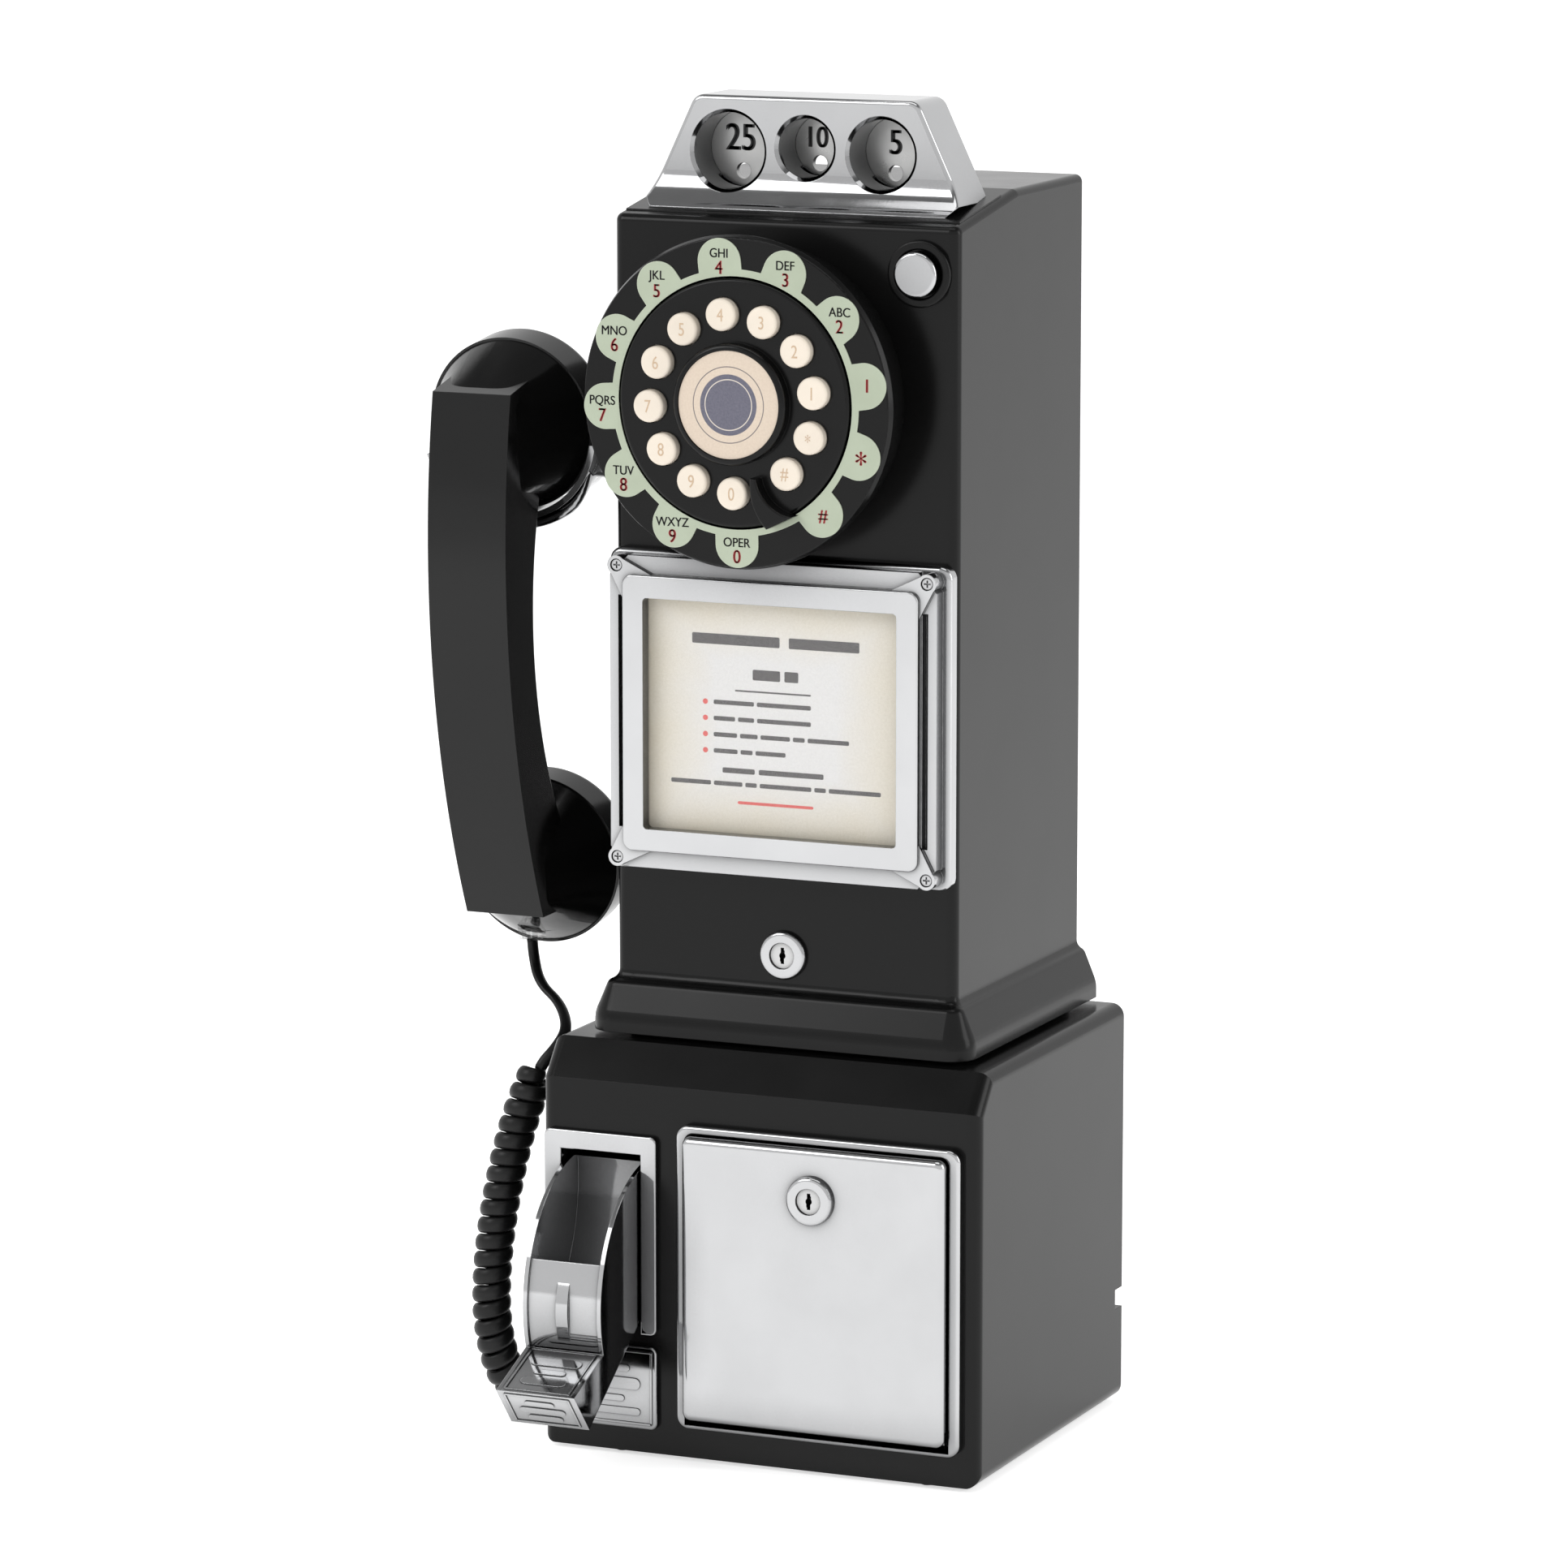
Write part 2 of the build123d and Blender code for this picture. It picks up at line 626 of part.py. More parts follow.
for step, mark in enumerate(KEY_ORDER):
    spot = dial_point(KEY_CIRCLE_R, KEY_START - KEY_STEP * step)
    with BuildPart() as key:
        # cap
        with BuildSketch(front_plane(PLATE_BACK + 0.6)):
            with Locations(spot):
                Circle(KEY_D / 2)
        extrude(amount=PLATE_BACK + 0.6 + 139.6)
        cap_edge = key.edges().filter_by(GeomType.CIRCLE).group_by(Axis.Y)[0]
        fillet(cap_edge, radius=1.1)
        # flange behind the plate
        with BuildSketch(front_plane(PLATE_BACK + 1.6)):
            with Locations(spot):
                Circle(KEY_D / 2 + 1.0)
        extrude(amount=1.2)
        # stem that closes the contact
        with BuildSketch(front_plane(PLATE_BACK + 4.0)):
            with Locations(spot):
                Circle(2.6)
        extrude(amount=2.6)
    save(key, f"key_{mark}")

with BuildPart() as key_mat:
    with BuildSketch(front_plane(MAT_FRONT + 1.2)):
        with Locations((DIAL_X, DIAL_Z)):
            Circle(38.6)
    extrude(amount=1.2)
save(key_mat, "key_mat")

with BuildPart() as keypad_board:
    with BuildSketch(front_plane(BOARD_BACK)):
        with Locations((DIAL_X, DIAL_Z)):
            Circle(38.8)
    extrude(amount=1.6)
    # connector block on the back of the board
    with BuildSketch(front_plane(BOARD_BACK + 5)):
        with Locations((DIAL_X, DIAL_Z)):
            Rectangle(18, 6)
    extrude(amount=5)
save(keypad_board, "keypad_board")

with BuildPart() as center_label:
    with BuildSketch(front_plane(PLATE_FRONT - 3.6)):
        with Locations((DIAL_X, DIAL_Z)):
            Circle(18.2)
    extrude(amount=0.5)
save(center_label, "center_label")

# -------------------------------------------------------------- redial button
with BuildPart() as redial_bezel:
    with BuildSketch(front_plane(UPPER_FRONT)):
        with Locations((REDIAL_X, REDIAL_Z)):
            Circle(11.3)
            Circle(8.2, mode=Mode.SUBTRACT)
    extrude(amount=2.2)
    outer = redial_bezel.edges().filter_by(GeomType.CIRCLE).group_by(Axis.Y)[0]
    fillet(outer, radius=0.8)
save(redial_bezel, "redial_bezel")

with BuildPart() as redial_button:
    with BuildSketch(front_plane(UPPER_FRONT - 2.6)):
        with Locations((REDIAL_X, REDIAL_Z)):
            Circle(7.7)
    extrude(amount=3.4)
    cap_edge = redial_button.edges().filter_by(GeomType.CIRCLE).group_by(Axis.Y)[0]
    fillet(cap_edge, radius=1.2)
    with BuildSketch(front_plane(UPPER_FRONT + 6)):
        with Locations((REDIAL_X, REDIAL_Z)):
            Circle(4.8)
    extrude(amount=8.6)
save(redial_button, "redial_button")

with BuildPart() as redial_switch:
    with BuildSketch(front_plane(UPPER_FRONT + 17)):
        with Locations((REDIAL_X, REDIAL_Z)):
            RectangleRounded(16, 16, 1)
    extrude(amount=14)
    with BuildSketch(front_plane(UPPER_FRONT + 9)):
        with Locations((REDIAL_X, REDIAL_Z)):
            Rectangle(12, 12)
    extrude(amount=8, mode=Mode.SUBTRACT)
save(redial_switch, "redial_switch")

# ----------------------------------------------------------------- card frame
with BuildPart() as card_frame:
    with BuildSketch(front_plane(UPPER_FRONT)):
        with Locations((0, FRAME_MID_Z)):
            RectangleRounded(126, FRAME_TOP - FRAME_BOTTOM, 4.5)
    extrude(amount=5)
    fillet(card_frame.faces().sort_by(Axis.Y)[0].edges(), radius=1.8)
    # middle tier
    with BuildSketch(front_plane(UPPER_FRONT - 5)):
        with Locations((0, FRAME_MID_Z)):
            Rectangle(120, 107.4)
    extrude(amount=5.5)
    # cut the corners of the middle tier round the ears
    with BuildSketch(front_plane(UPPER_FRONT - 5)):
        for sx in (-1, 1):
            for sz in (-1, 1):
                with Locations((sx * 60, FRAME_MID_Z + sz * 53.7)):
                    Rectangle(9.5, 9.5, rotation=45)
    extrude(amount=6, mode=Mode.SUBTRACT)
    # raised inner frame
    with BuildSketch(front_plane(UPPER_FRONT - 10.5)):
        with Locations((0, FRAME_MID_Z)):
            RectangleRounded(108.6, 95, 3.5)
    extrude(amount=3)
    fillet(card_frame.faces().sort_by(Axis.Y)[0].edges(), radius=0.6)
    # grooves down both sides of the raised frame
    with BuildSketch(front_plane(UPPER_FRONT - 7.5)):
        with Locations((-55.9, FRAME_MID_Z), (55.9, FRAME_MID_Z)):
            Rectangle(2.0, 80)
    extrude(amount=4, mode=Mode.SUBTRACT)
    # corner ears with the screw bosses
    with BuildSketch(front_plane(UPPER_FRONT - 5)):
        for sx in (-1, 1):
            for sz in (-1, 1):
                with BuildLine():
                    z0 = FRAME_MID_Z
                    Polyline(
                        (sx * 59.3, z0 + sz * 48.0),
                        (sx * 54.3, z0 + sz * 38.5),
                        (sx * 52.8, z0 + sz * 46.0),
                        (sx * 44.0, z0 + sz * 47.5),
                        (sx * 54.7, z0 + sz * 52.6),
                        close=True,
                    )
                make_face()
                with Locations((sx * EAR_X, z0 + sz * EAR_Z)):
                    Circle(3.3)
    extrude(amount=7)
    # window and the shallow bed of the card
    with BuildSketch(front_plane(UPPER_FRONT)):
        with Locations((0, FRAME_MID_Z)):
            RectangleRounded(93.2, 79.6, 1.5)
    extrude(amount=20, mode=Mode.SUBTRACT)
    with BuildSketch(front_plane(UPPER_FRONT)):
        with Locations((0, FRAME_MID_Z)):
            Rectangle(99, 86)
    extrude(amount=8.6, mode=Mode.SUBTRACT)
    # screw holes, with recesses for the heads
    with BuildSketch(front_plane(UPPER_FRONT)):
        with Locations((0, FRAME_MID_Z)):
            with GridLocations(2 * EAR_X, 2 * EAR_Z, 2, 2):
                Circle(1.3)
    extrude(amount=20, mode=Mode.SUBTRACT)
    with BuildSketch(front_plane(UPPER_FRONT - 10.4)):
        with Locations((0, FRAME_MID_Z)):
            with GridLocations(2 * EAR_X, 2 * EAR_Z, 2, 2):
                Circle(2.2)
    extrude(amount=6, mode=Mode.SUBTRACT)
save(card_frame, "card_frame")

with BuildPart() as card:
    with BuildSketch(front_plane(UPPER_FRONT - 6.8)):
        with Locations((0, FRAME_MID_Z)):
            Rectangle(98, 85)
    extrude(amount=0.6)
save(card, "card")

with BuildPart() as card_window:
    with BuildSketch(front_plane(UPPER_FRONT - 7.4)):
        with Locations((0, FRAME_MID_Z)):
            Rectangle(98, 85)
    extrude(amount=1.2)
save(card_window, "card_window")

with BuildPart() as frame_screws:
    with BuildSketch(front_plane(UPPER_FRONT - 10.4)):
        with Locations((0, FRAME_MID_Z)):
            with GridLocations(2 * EAR_X, 2 * EAR_Z, 2, 2):
                Circle(1.9)
    extrude(amount=1.2)
    with BuildSketch(front_plane(UPPER_FRONT + 5)):
        with Locations((0, FRAME_MID_Z)):
            with GridLocations(2 * EAR_X, 2 * EAR_Z, 2, 2):
                Circle(1.15)
    extrude(amount=15.4)
    # cross recess
    with BuildSketch(front_plane(UPPER_FRONT - 11.0)):
        with Locations((0, FRAME_MID_Z)):
            with GridLocations(2 * EAR_X, 2 * EAR_Z, 2, 2):
                Rectangle(2.4, 0.5)
                Rectangle(0.5, 2.4)
    extrude(amount=2, mode=Mode.SUBTRACT)
save(frame_screws, "frame_screws")


# --------------------------------------------------------------------- locks
def keyhole(spot):
    """Double-sided keyhole outline in the plug's face."""
    with Locations(spot):
        Circle(1.15)
        Rectangle(1.2, 5.6)
        with Locations((0.45, 1.2)):
            Rectangle(0.8, 1.4)
        with Locations((-0.45, -1.3)):
            Rectangle(0.8, 1.4)


def build_lock(prefix, spot, seat_y, body_depth, cam_length, cam_angle):
    """Lock body, and a turning plug with its cam, seated on the face at seat_y."""
    with BuildPart() as body:
        with BuildSketch(front_plane(seat_y)):
            with Locations(spot):
                Circle(8.5)
        extrude(amount=2.4)
        ring = body.edges().filter_by(GeomType.CIRCLE).group_by(Axis.Y)[0]
        fillet(ring, radius=1.5)
        with BuildSketch(front_plane(seat_y + body_depth)):
            with Locations(spot):
                Circle(6.0)
        extrude(amount=body_depth)
        with BuildSketch(front_plane(seat_y + body_depth + 1)):
            with Locations(spot):
                Circle(4.6)
        extrude(amount=body_depth + 10, mode=Mode.SUBTRACT)
    save(body, f"{prefix}_body")
    with BuildPart() as plug:
        with BuildSketch(front_plane(seat_y + body_depth + 1.2)):
            with Locations(spot):
                Circle(4.55)
        extrude(amount=body_depth + 1.2 + 1.6)
        with BuildSketch(front_plane(seat_y + 3)):
            keyhole(spot)
        extrude(amount=8, mode=Mode.SUBTRACT)
        with BuildSketch(front_plane(seat_y + body_depth + 4.4)):
            with Locations(spot):
                Circle(2.4)
        extrude(amount=3.4)
        # cam on the end of the plug
        with BuildSketch(front_plane(seat_y + body_depth + 3.2)):
            with Locations(spot):
                Circle(5.4)
            with Locations(Location((*spot, 0), (0, 0, cam_angle))):
                Rectangle(cam_length, 8, align=(Align.MIN, Align.CENTER))
        extrude(amount=1.8)
    save(plug, f"{prefix}_plug")


build_lock("upper_lock", UPPER_LOCK, UPPER_FRONT, 9.0, 14.0, 90)

# ------------------------------------------------------------- coin bank door
with BuildPart() as bank_bezel:
    bezel_x = (BEZEL_X0 + BEZEL_X1) / 2
    bezel_z = (BEZEL_Z0 + BEZEL_Z1) / 2
    with BuildSketch(front_plane(BASE_FRONT)):
        with Locations((bezel_x, bezel_z)):
            RectangleRounded(BEZEL_X1 - BEZEL_X0, BEZEL_Z1 - BEZEL_Z0, 4.5)
    extrude(amount=4.0)
    fillet(bank_bezel.faces().sort_by(Axis.Y)[0].edges(), radius=1.3)
    with BuildSketch(front_plane(BASE_FRONT)):
        with Locations(((DOOR_X0 + DOOR_X1) / 2, (DOOR_Z0 + DOOR_Z1) / 2)):
            RectangleRounded(DOOR_X1 - DOOR_X0 + 1.2, DOOR_Z1 - DOOR_Z0 + 1.2, 3.5)
    extrude(amount=5, mode=Mode.SUBTRACT)
    # cove that lets the lower edge of the door swing through
    with BuildSketch(side_plane(DOOR_X0 - 0.6)):
        with Locations(DOOR_HINGE):
            Circle(5.0)
    extrude(amount=DOOR_X1 - DOOR_X0 + 1.2, mode=Mode.SUBTRACT)
    # ears that carry the hinge pins inside the hollow of the door
    for ear_x, tab_x in ((DOOR_X0 + 0.3, DOOR_X0 - 1.0), (DOOR_X1 - 2.9, DOOR_X1 - 2.9)):
        with BuildSketch(side_plane(ear_x)):
            with Locations(DOOR_HINGE):
                Circle(2.2)
            with Locations((DOOR_HINGE[0] + 1.9, DOOR_HINGE[1])):
                Rectangle(3.8, 4.4)
        extrude(amount=2.6)
        with BuildSketch(side_plane(tab_x)):
            with Locations((BASE_FRONT - 1.0, DOOR_HINGE[1])):
                Rectangle(2.0, 4.4)
        extrude(amount=3.9)
    for x in (DOOR_X0 + 0.3, DOOR_X1 - 6.6):
        with BuildSketch(side_plane(x)):
            with Locations(DOOR_HINGE):
                Circle(HINGE_PIN_R)
        extrude(amount=6.3)
save(bank_bezel, "bank_bezel")

with BuildPart() as bank_door:
    with BuildSketch(front_plane(BASE_FRONT - 1.0)):
        with Locations(((DOOR_X0 + DOOR_X1) / 2, (DOOR_Z0 + DOOR_Z1) / 2)):
            RectangleRounded(DOOR_X1 - DOOR_X0, DOOR_Z1 - DOOR_Z0, 3)
    extrude(amount=BASE_FRONT - 1.0 - DOOR_FRONT)
    fillet(bank_door.faces().sort_by(Axis.Y)[0].edges(), radius=2.4)
    # hollow back
    with BuildSketch(front_plane(BASE_FRONT - 1.0)):
        with Locations(((DOOR_X0 + DOOR_X1) / 2, (DOOR_Z0 + DOOR_Z1) / 2)):
            RectangleRounded(DOOR_X1 - DOOR_X0 - 5, DOOR_Z1 - DOOR_Z0 - 5, 2)
    extrude(amount=5, mode=Mode.SUBTRACT)
    # room for the hinge ears of the bezel
    for x in (DOOR_X0 - 1, DOOR_X1 - 3.3):
        with BuildSketch(side_plane(x)):
            with Locations((-139.0, 18.4)):
                Rectangle(7.4, 7.0)
        extrude(amount=4.3, mode=Mode.SUBTRACT)
    # hinge bosses of the door, beside those ears
    for x in (DOOR_X0 + 3.3, DOOR_X1 - 6.6):
        with BuildSketch(side_plane(x)):
            with Locations(DOOR_HINGE):
                Circle(2.2)
            with Locations((DOOR_HINGE[0] - 1.6, DOOR_HINGE[1])):
                Rectangle(3.2, 4.4)
        extrude(amount=3.3)
    for x in (DOOR_X0 - 1, DOOR_X1 - 7):
        with BuildSketch(side_plane(x)):
            with Locations(DOOR_HINGE):
                Circle(HINGE_PIN_R + 0.06)
        extrude(amount=8, mode=Mode.SUBTRACT)
    # lock seat
    with BuildSketch(front_plane(DOOR_FRONT + 4.2)):
        with Locations(DOOR_LOCK):
            Circle(9)
    extrude(amount=3)
    with BuildSketch(front_plane(BASE_FRONT)):
        with Locations(DOOR_LOCK):
            Circle(6.05)
    extrude(amount=20, mode=Mode.SUBTRACT)
save(bank_door, "bank_door")

build_lock("door_lock", DOOR_LOCK, DOOR_FRONT, 10.8, 18.0, 180)

# ---------------------------------------------------------------- coin return
with BuildPart() as return_bezel:
    with BuildSketch(front_plane(BASE_FRONT)):
        with Locations(((RETURN_X0 + RETURN_X1) / 2, (RETURN_TOP + RETURN_BOTTOM) / 2)):
            RectangleRounded(RETURN_X1 - RETURN_X0, RETURN_TOP - RETURN_BOTTOM, 2.5)
        with Locations(((SLOT_X0 + SLOT_X1) / 2, (106.5 + 40) / 2)):
            Rectangle(SLOT_X1 - SLOT_X0, 106.5 - 40, mode=Mode.SUBTRACT)
    extrude(amount=2.4)
    fillet(return_bezel.faces().sort_by(Axis.Y)[0].edges(), radius=0.7)
save(return_bezel, "return_bezel")

with BuildPart() as return_plate:
    with BuildSketch(front_plane(BASE_FRONT)):
        with Locations(((RETURN_X0 + RETURN_X1) / 2, 24.8)):
            RectangleRounded(RETURN_X1 - RETURN_X0, 29.4, 2.5)
    extrude(amount=2.2)
    fillet(return_plate.faces().sort_by(Axis.Y)[0].edges(), radius=0.8)
save(return_plate, "return_plate")


def bucket_point(radius, degrees):
    """Y and Z of a point on the bucket, measured from straight ahead, up positive."""
    angle = math.radians(degrees)
    return (BUCKET_Y - radius * math.cos(angle), BUCKET_Z + radius * math.sin(angle))


TAB_TIP = (-192.0, 33.8)
TAB_FOOT = (-180.0, 20.0)
with BuildPart() as coin_bucket:
    # sector side plates with the cheeks of the pull tab
    for x in (BUCKET_X0, BUCKET_X1 - 1.5):
        with BuildSketch(side_plane(x)):
            with BuildLine():
                Line(bucket_point(6, -31), TAB_FOOT)
                Line(TAB_FOOT, TAB_TIP)
                Line(TAB_TIP, bucket_point(BUCKET_R, -18))
                ThreePointArc(
                    bucket_point(BUCKET_R, -18),
                    bucket_point(BUCKET_R, 34),
                    bucket_point(BUCKET_R, 86),
                )
                Line(bucket_point(BUCKET_R, 86), bucket_point(6, 100))
                Line(bucket_point(6, 100), bucket_point(6, -31))
            make_face()
            with Locations((BUCKET_Y, BUCKET_Z)):
                Circle(6)
                Circle(2.08, mode=Mode.SUBTRACT)
        extrude(amount=1.5)
    # front plate between the cheeks, with its centre rib
    with BuildSketch(side_plane(BUCKET_X0 + 0.5)):
        with BuildLine():
            ThreePointArc(
                bucket_point(BUCKET_R - 0.8, -19),
                bucket_point(BUCKET_R - 0.8, 1),
                bucket_point(BUCKET_R - 0.8, 21.5),
            )
            Line(bucket_point(BUCKET_R - 0.8, 21.5), bucket_point(BUCKET_R - 2.4, 21.5))
            ThreePointArc(
                bucket_point(BUCKET_R - 2.4, 21.5),
                bucket_point(BUCKET_R - 2.4, 1),
                bucket_point(BUCKET_R - 2.4, -19),
            )
            Line(bucket_point(BUCKET_R - 2.4, -19), bucket_point(BUCKET_R - 0.8, -19))
        make_face()
    extrude(amount=BUCKET_X1 - BUCKET_X0 - 1.0)
    # wedge tab
    with BuildSketch(side_plane(BUCKET_X0 + 0.5)):
        with BuildLine():
            Polyline(
                bucket_point(BUCKET_R - 1.2, -18.4),
                TAB_TIP,
                TAB_FOOT,
                (TAB_FOOT[0] + 1.3, TAB_FOOT[1] + 0.9),
                (TAB_TIP[0] + 2.0, TAB_TIP[1] - 0.4),
                bucket_point(BUCKET_R - 2.4, -20.4),
                close=True,
            )
        make_face()
    extrude(amount=BUCKET_X1 - BUCKET_X0 - 1.0)
    # scoop floor
    with BuildSketch(side_plane(BUCKET_X0 + 0.5)):
        with BuildLine():
            ThreePointArc(
                bucket_point(BUCKET_R - 1.6, -20.5),
                bucket_point(22, -8),
                bucket_point(BUCKET_R - 1.0, 84),
            )
            Line(bucket_point(BUCKET_R - 1.0, 84), bucket_point(BUCKET_R - 1.2, 86))
            ThreePointArc(
                bucket_point(BUCKET_R - 1.2, 86),
                bucket_point(20.2, -8.5),
                bucket_point(BUCKET_R - 2.4, -22.6),
            )
            Line(bucket_point(BUCKET_R - 2.4, -22.6), bucket_point(BUCKET_R - 1.6, -20.5))
        make_face()
    extrude(amount=BUCKET_X1 - BUCKET_X0 - 1.0)
    # hub tube between the cheeks, tied to the scoop by a web
    with BuildSketch(side_plane(BUCKET_X0 + 0.5)):
        with Locations((BUCKET_Y, BUCKET_Z)):
            Circle(3.6)
        with Locations((BUCKET_Y - 11, BUCKET_Z - 2.5)):
            Rectangle(20, 1.4, rotation=8)
        with Locations((BUCKET_Y, BUCKET_Z)):
            Circle(2.08, mode=Mode.SUBTRACT)
    extrude(amount=BUCKET_X1 - BUCKET_X0 - 1.0)
    # raised rib on the front plate
    rib_x = (BUCKET_X0 + BUCKET_X1) / 2
    with BuildSketch(side_plane(rib_x - 2.2)):
        with BuildLine():
            ThreePointArc(
                bucket_point(BUCKET_R - 1.2, -15.5),
                bucket_point(BUCKET_R + 0.3, -0.5),
                bucket_point(BUCKET_R - 1.2, 14.5),
            )
            ThreePointArc(
                bucket_point(BUCKET_R - 1.2, 14.5),
                bucket_point(BUCKET_R - 1.4, -0.5),
                bucket_point(BUCKET_R - 1.2, -15.5),
            )
        make_face()
    extrude(amount=4.4)
save(coin_bucket, "coin_bucket")

with BuildPart() as bucket_pin:
    with BuildSketch(side_plane(-77.8)):
        with Locations((BUCKET_Y, BUCKET_Z)):
            Circle(2.0)
    extrude(amount=40.0)
save(bucket_pin, "bucket_pin")

# ---------------------------------------------------------------------- hook
CUP_R = CAP_R + 0.9
CUP_T = 2.2
with BuildPart() as hook_lever:
    # cup under the ear cap, following the handset's tilt; its right arm stands higher
    with BuildSketch(handset_plane(0, -15)):
        Circle(CUP_R + CUP_T)
        Circle(CUP_R, mode=Mode.SUBTRACT)
        with Locations((-50, 44.6)):
            Rectangle(100, 100, mode=Mode.SUBTRACT)
        with Locations((50, 38.4)):
            Rectangle(100, 100, mode=Mode.SUBTRACT)
    extrude(amount=22)
    # arm to the side of the housing
    with BuildSketch(side_plane(-92)):
        with Locations((-79, HOOK_PIVOT_Z)):
            RectangleRounded(18, 12, 2)
    extrude(amount=26)
    # narrower arm through the side slot, and the boss on the pivot pin
    with BuildSketch(side_plane(-67)):
        with Locations((-76, HOOK_PIVOT_Z)):
            Rectangle(9, 8)
    extrude(amount=67 + HOOK_PIVOT_X)
    with BuildSketch(front_plane(-71.5)):
        with Locations((HOOK_PIVOT_X, HOOK_PIVOT_Z)):
            Circle(5)
    extrude(amount=9)
    with BuildSketch(front_plane(-60)):
        with Locations((HOOK_PIVOT_X, HOOK_PIVOT_Z)):
            Circle(HOOK_PIN_R + 0.08)
    extrude(amount=40, mode=Mode.SUBTRACT)
    # clear the ear cap and the neck
    with BuildSketch(handset_plane(0, -40)):
        Circle(CUP_R)
    extrude(amount=70, mode=Mode.SUBTRACT)
save(hook_lever, "hook_lever")

with BuildPart() as hook_pin:
    with BuildSketch(front_plane(-66.6)):
        with Locations((HOOK_PIVOT_X, HOOK_PIVOT_Z)):
            Circle(HOOK_PIN_R)
    extrude(amount=19)
save(hook_pin, "hook_pin")

with BuildPart() as hook_switch:
    with BuildSketch(front_plane(-69.6)):
        with Locations((-39.6, HOOK_PIVOT_Z)):
            Rectangle(10, 16)
    extrude(amount=12.8)
save(hook_switch, "hook_switch")

# -------------------------------------------------------------------- handset
with BuildPart() as handset_handle:
    # bowed grip
    with BuildSketch(handset_side(-HANDLE_W / 2)):
        with BuildLine():
            ThreePointArc((-40.5, 18), (-55, -79), (-41, -169))
            Line((-41, -169), (-24, -171))
            Line((-24, -171), (-22, -140))
            ThreePointArc((-22, -140), (-35, -79), (-22, -20))
            Line((-22, -20), (-22, 20))
            Line((-22, 20), (-40.5, 18))
        make_face()
    extrude(amount=HANDLE_W)
    # necks that open out to the caps
    with BuildSketch(handset_plane(-2, -38)):
        RectangleRounded(HANDLE_W - 0.5, 38, 5)
    with BuildSketch(handset_plane(0, -22)):
        with Locations((0, 0)):
            RectangleRounded(46, 50, 20)
    with BuildSketch(handset_plane(0, -11)):
        Circle(CAP_R - 0.8)
    loft()
    with BuildSketch(handset_plane(-CAP_PITCH + 1, -38)):
        RectangleRounded(HANDLE_W - 0.5, 22, 5)
    with BuildSketch(handset_plane(-CAP_PITCH, -22)):
        RectangleRounded(46, 44, 20)
    with BuildSketch(handset_plane(-CAP_PITCH, -11)):
        Circle(CAP_R - 0.8)
    loft()
    # socket of the modular plug
    with BuildSketch(cross_plane(-CAP_PITCH - 13.5, -21)):
        Rectangle(7.8, 6.6)
    extrude(amount=-20, mode=Mode.SUBTRACT)
    # seats of the capsules
    with BuildSketch(handset_plane(0, -11)):
        Circle(24)
    extrude(amount=-9, mode=Mode.SUBTRACT)
    with BuildSketch(handset_plane(-CAP_PITCH, -11)):
        Circle(24)
    extrude(amount=-9, mode=Mode.SUBTRACT)
save(handset_handle, "handset_handle")


def build_cap(name, along, depth, holes):
    """Screw-on cap with a ring of sound holes."""
    with BuildPart() as cap:
        with BuildSketch(handset_plane(along, -11)):
            Circle(CAP_R)
        extrude(amount=depth)
        back = handset_plane(along, -11 + depth)
        far = cap.edges().filter_by(GeomType.CIRCLE).sort_by(
            lambda e: (e.center() - back.origin).length
        )[0]
        fillet(far, radius=4)
        with BuildSketch(handset_plane(along, -11)):
            Circle(26)
        extrude(amount=depth - 3.5, mode=Mode.SUBTRACT)
        with BuildSketch(handset_plane(along, -11 + depth - 5)):
            with PolarLocations(9, holes):
                Circle(1.2)
            Circle(1.2)
        extrude(amount=8, mode=Mode.SUBTRACT)
    save(cap, name)


build_cap("ear_cap", 0, 17, 6)
build_cap("mouth_cap", -CAP_PITCH, 15, 8)

with BuildPart() as receiver_capsule:
    with BuildSketch(handset_plane(0, -20)):
        Circle(23.4)
    extrude(amount=18)
save(receiver_capsule, "receiver_capsule")

with BuildPart() as transmitter_capsule:
    with BuildSketch(handset_plane(-CAP_PITCH, -17.4)):
        Circle(23.4)
    extrude(amount=14)
save(transmitter_capsule, "transmitter_capsule")

# ----------------------------------------------------------------------- cord
COIL_ROUTE = [
    (-95.5, -108.0, 127.0),
    (-103.0, -112.0, 104.0),
    (-108.5, -116.0, 72.0),
    (-110.0, -118.0, 45.0),
    (-109.0, -115.5, 27.0),
    (-107.0, -109.5, 14.0),
    (-103.5, -100.5, 8.0),
    (-99.5, -90.5, 7.3),
]
TOP_LEAD_ROUTE = [
    (-112.5, -76.8, 165.8),
    (-112.5, -75.95, 159.36),
    (-107.0, -82.5, 151.0),
    (-99.5, -89.5, 140.5),
    (-94.5, -97.8, 135.2),
    (-93.17, -106.76, 134.13),
    (-95.5, -108.0, 127.0),
]
BOTTOM_LEAD_ROUTE = [
    (-99.5, -90.5, 7.3),
    (-96.7, -83.5, 6.8),
    (-95.2, -76.5, 10.5),
    (-94.0, -72.0, 17.0),
    (-88.0, -72.0, 17.0),
]


def bend_radii(route):
    """Radius at each inner point: 0.45 of the shorter run over the half-turn's tangent."""
    points = [Vector(*p) for p in route]
    radii = []
    for before, here, after in zip(points, points[1:], points[2:]):
        first = here - before
        second = after - here
        half_turn = math.radians(first.get_angle(second)) / 2
        radii.append(0.45 * min(first.length, second.length) / math.tan(half_turn))
    return radii


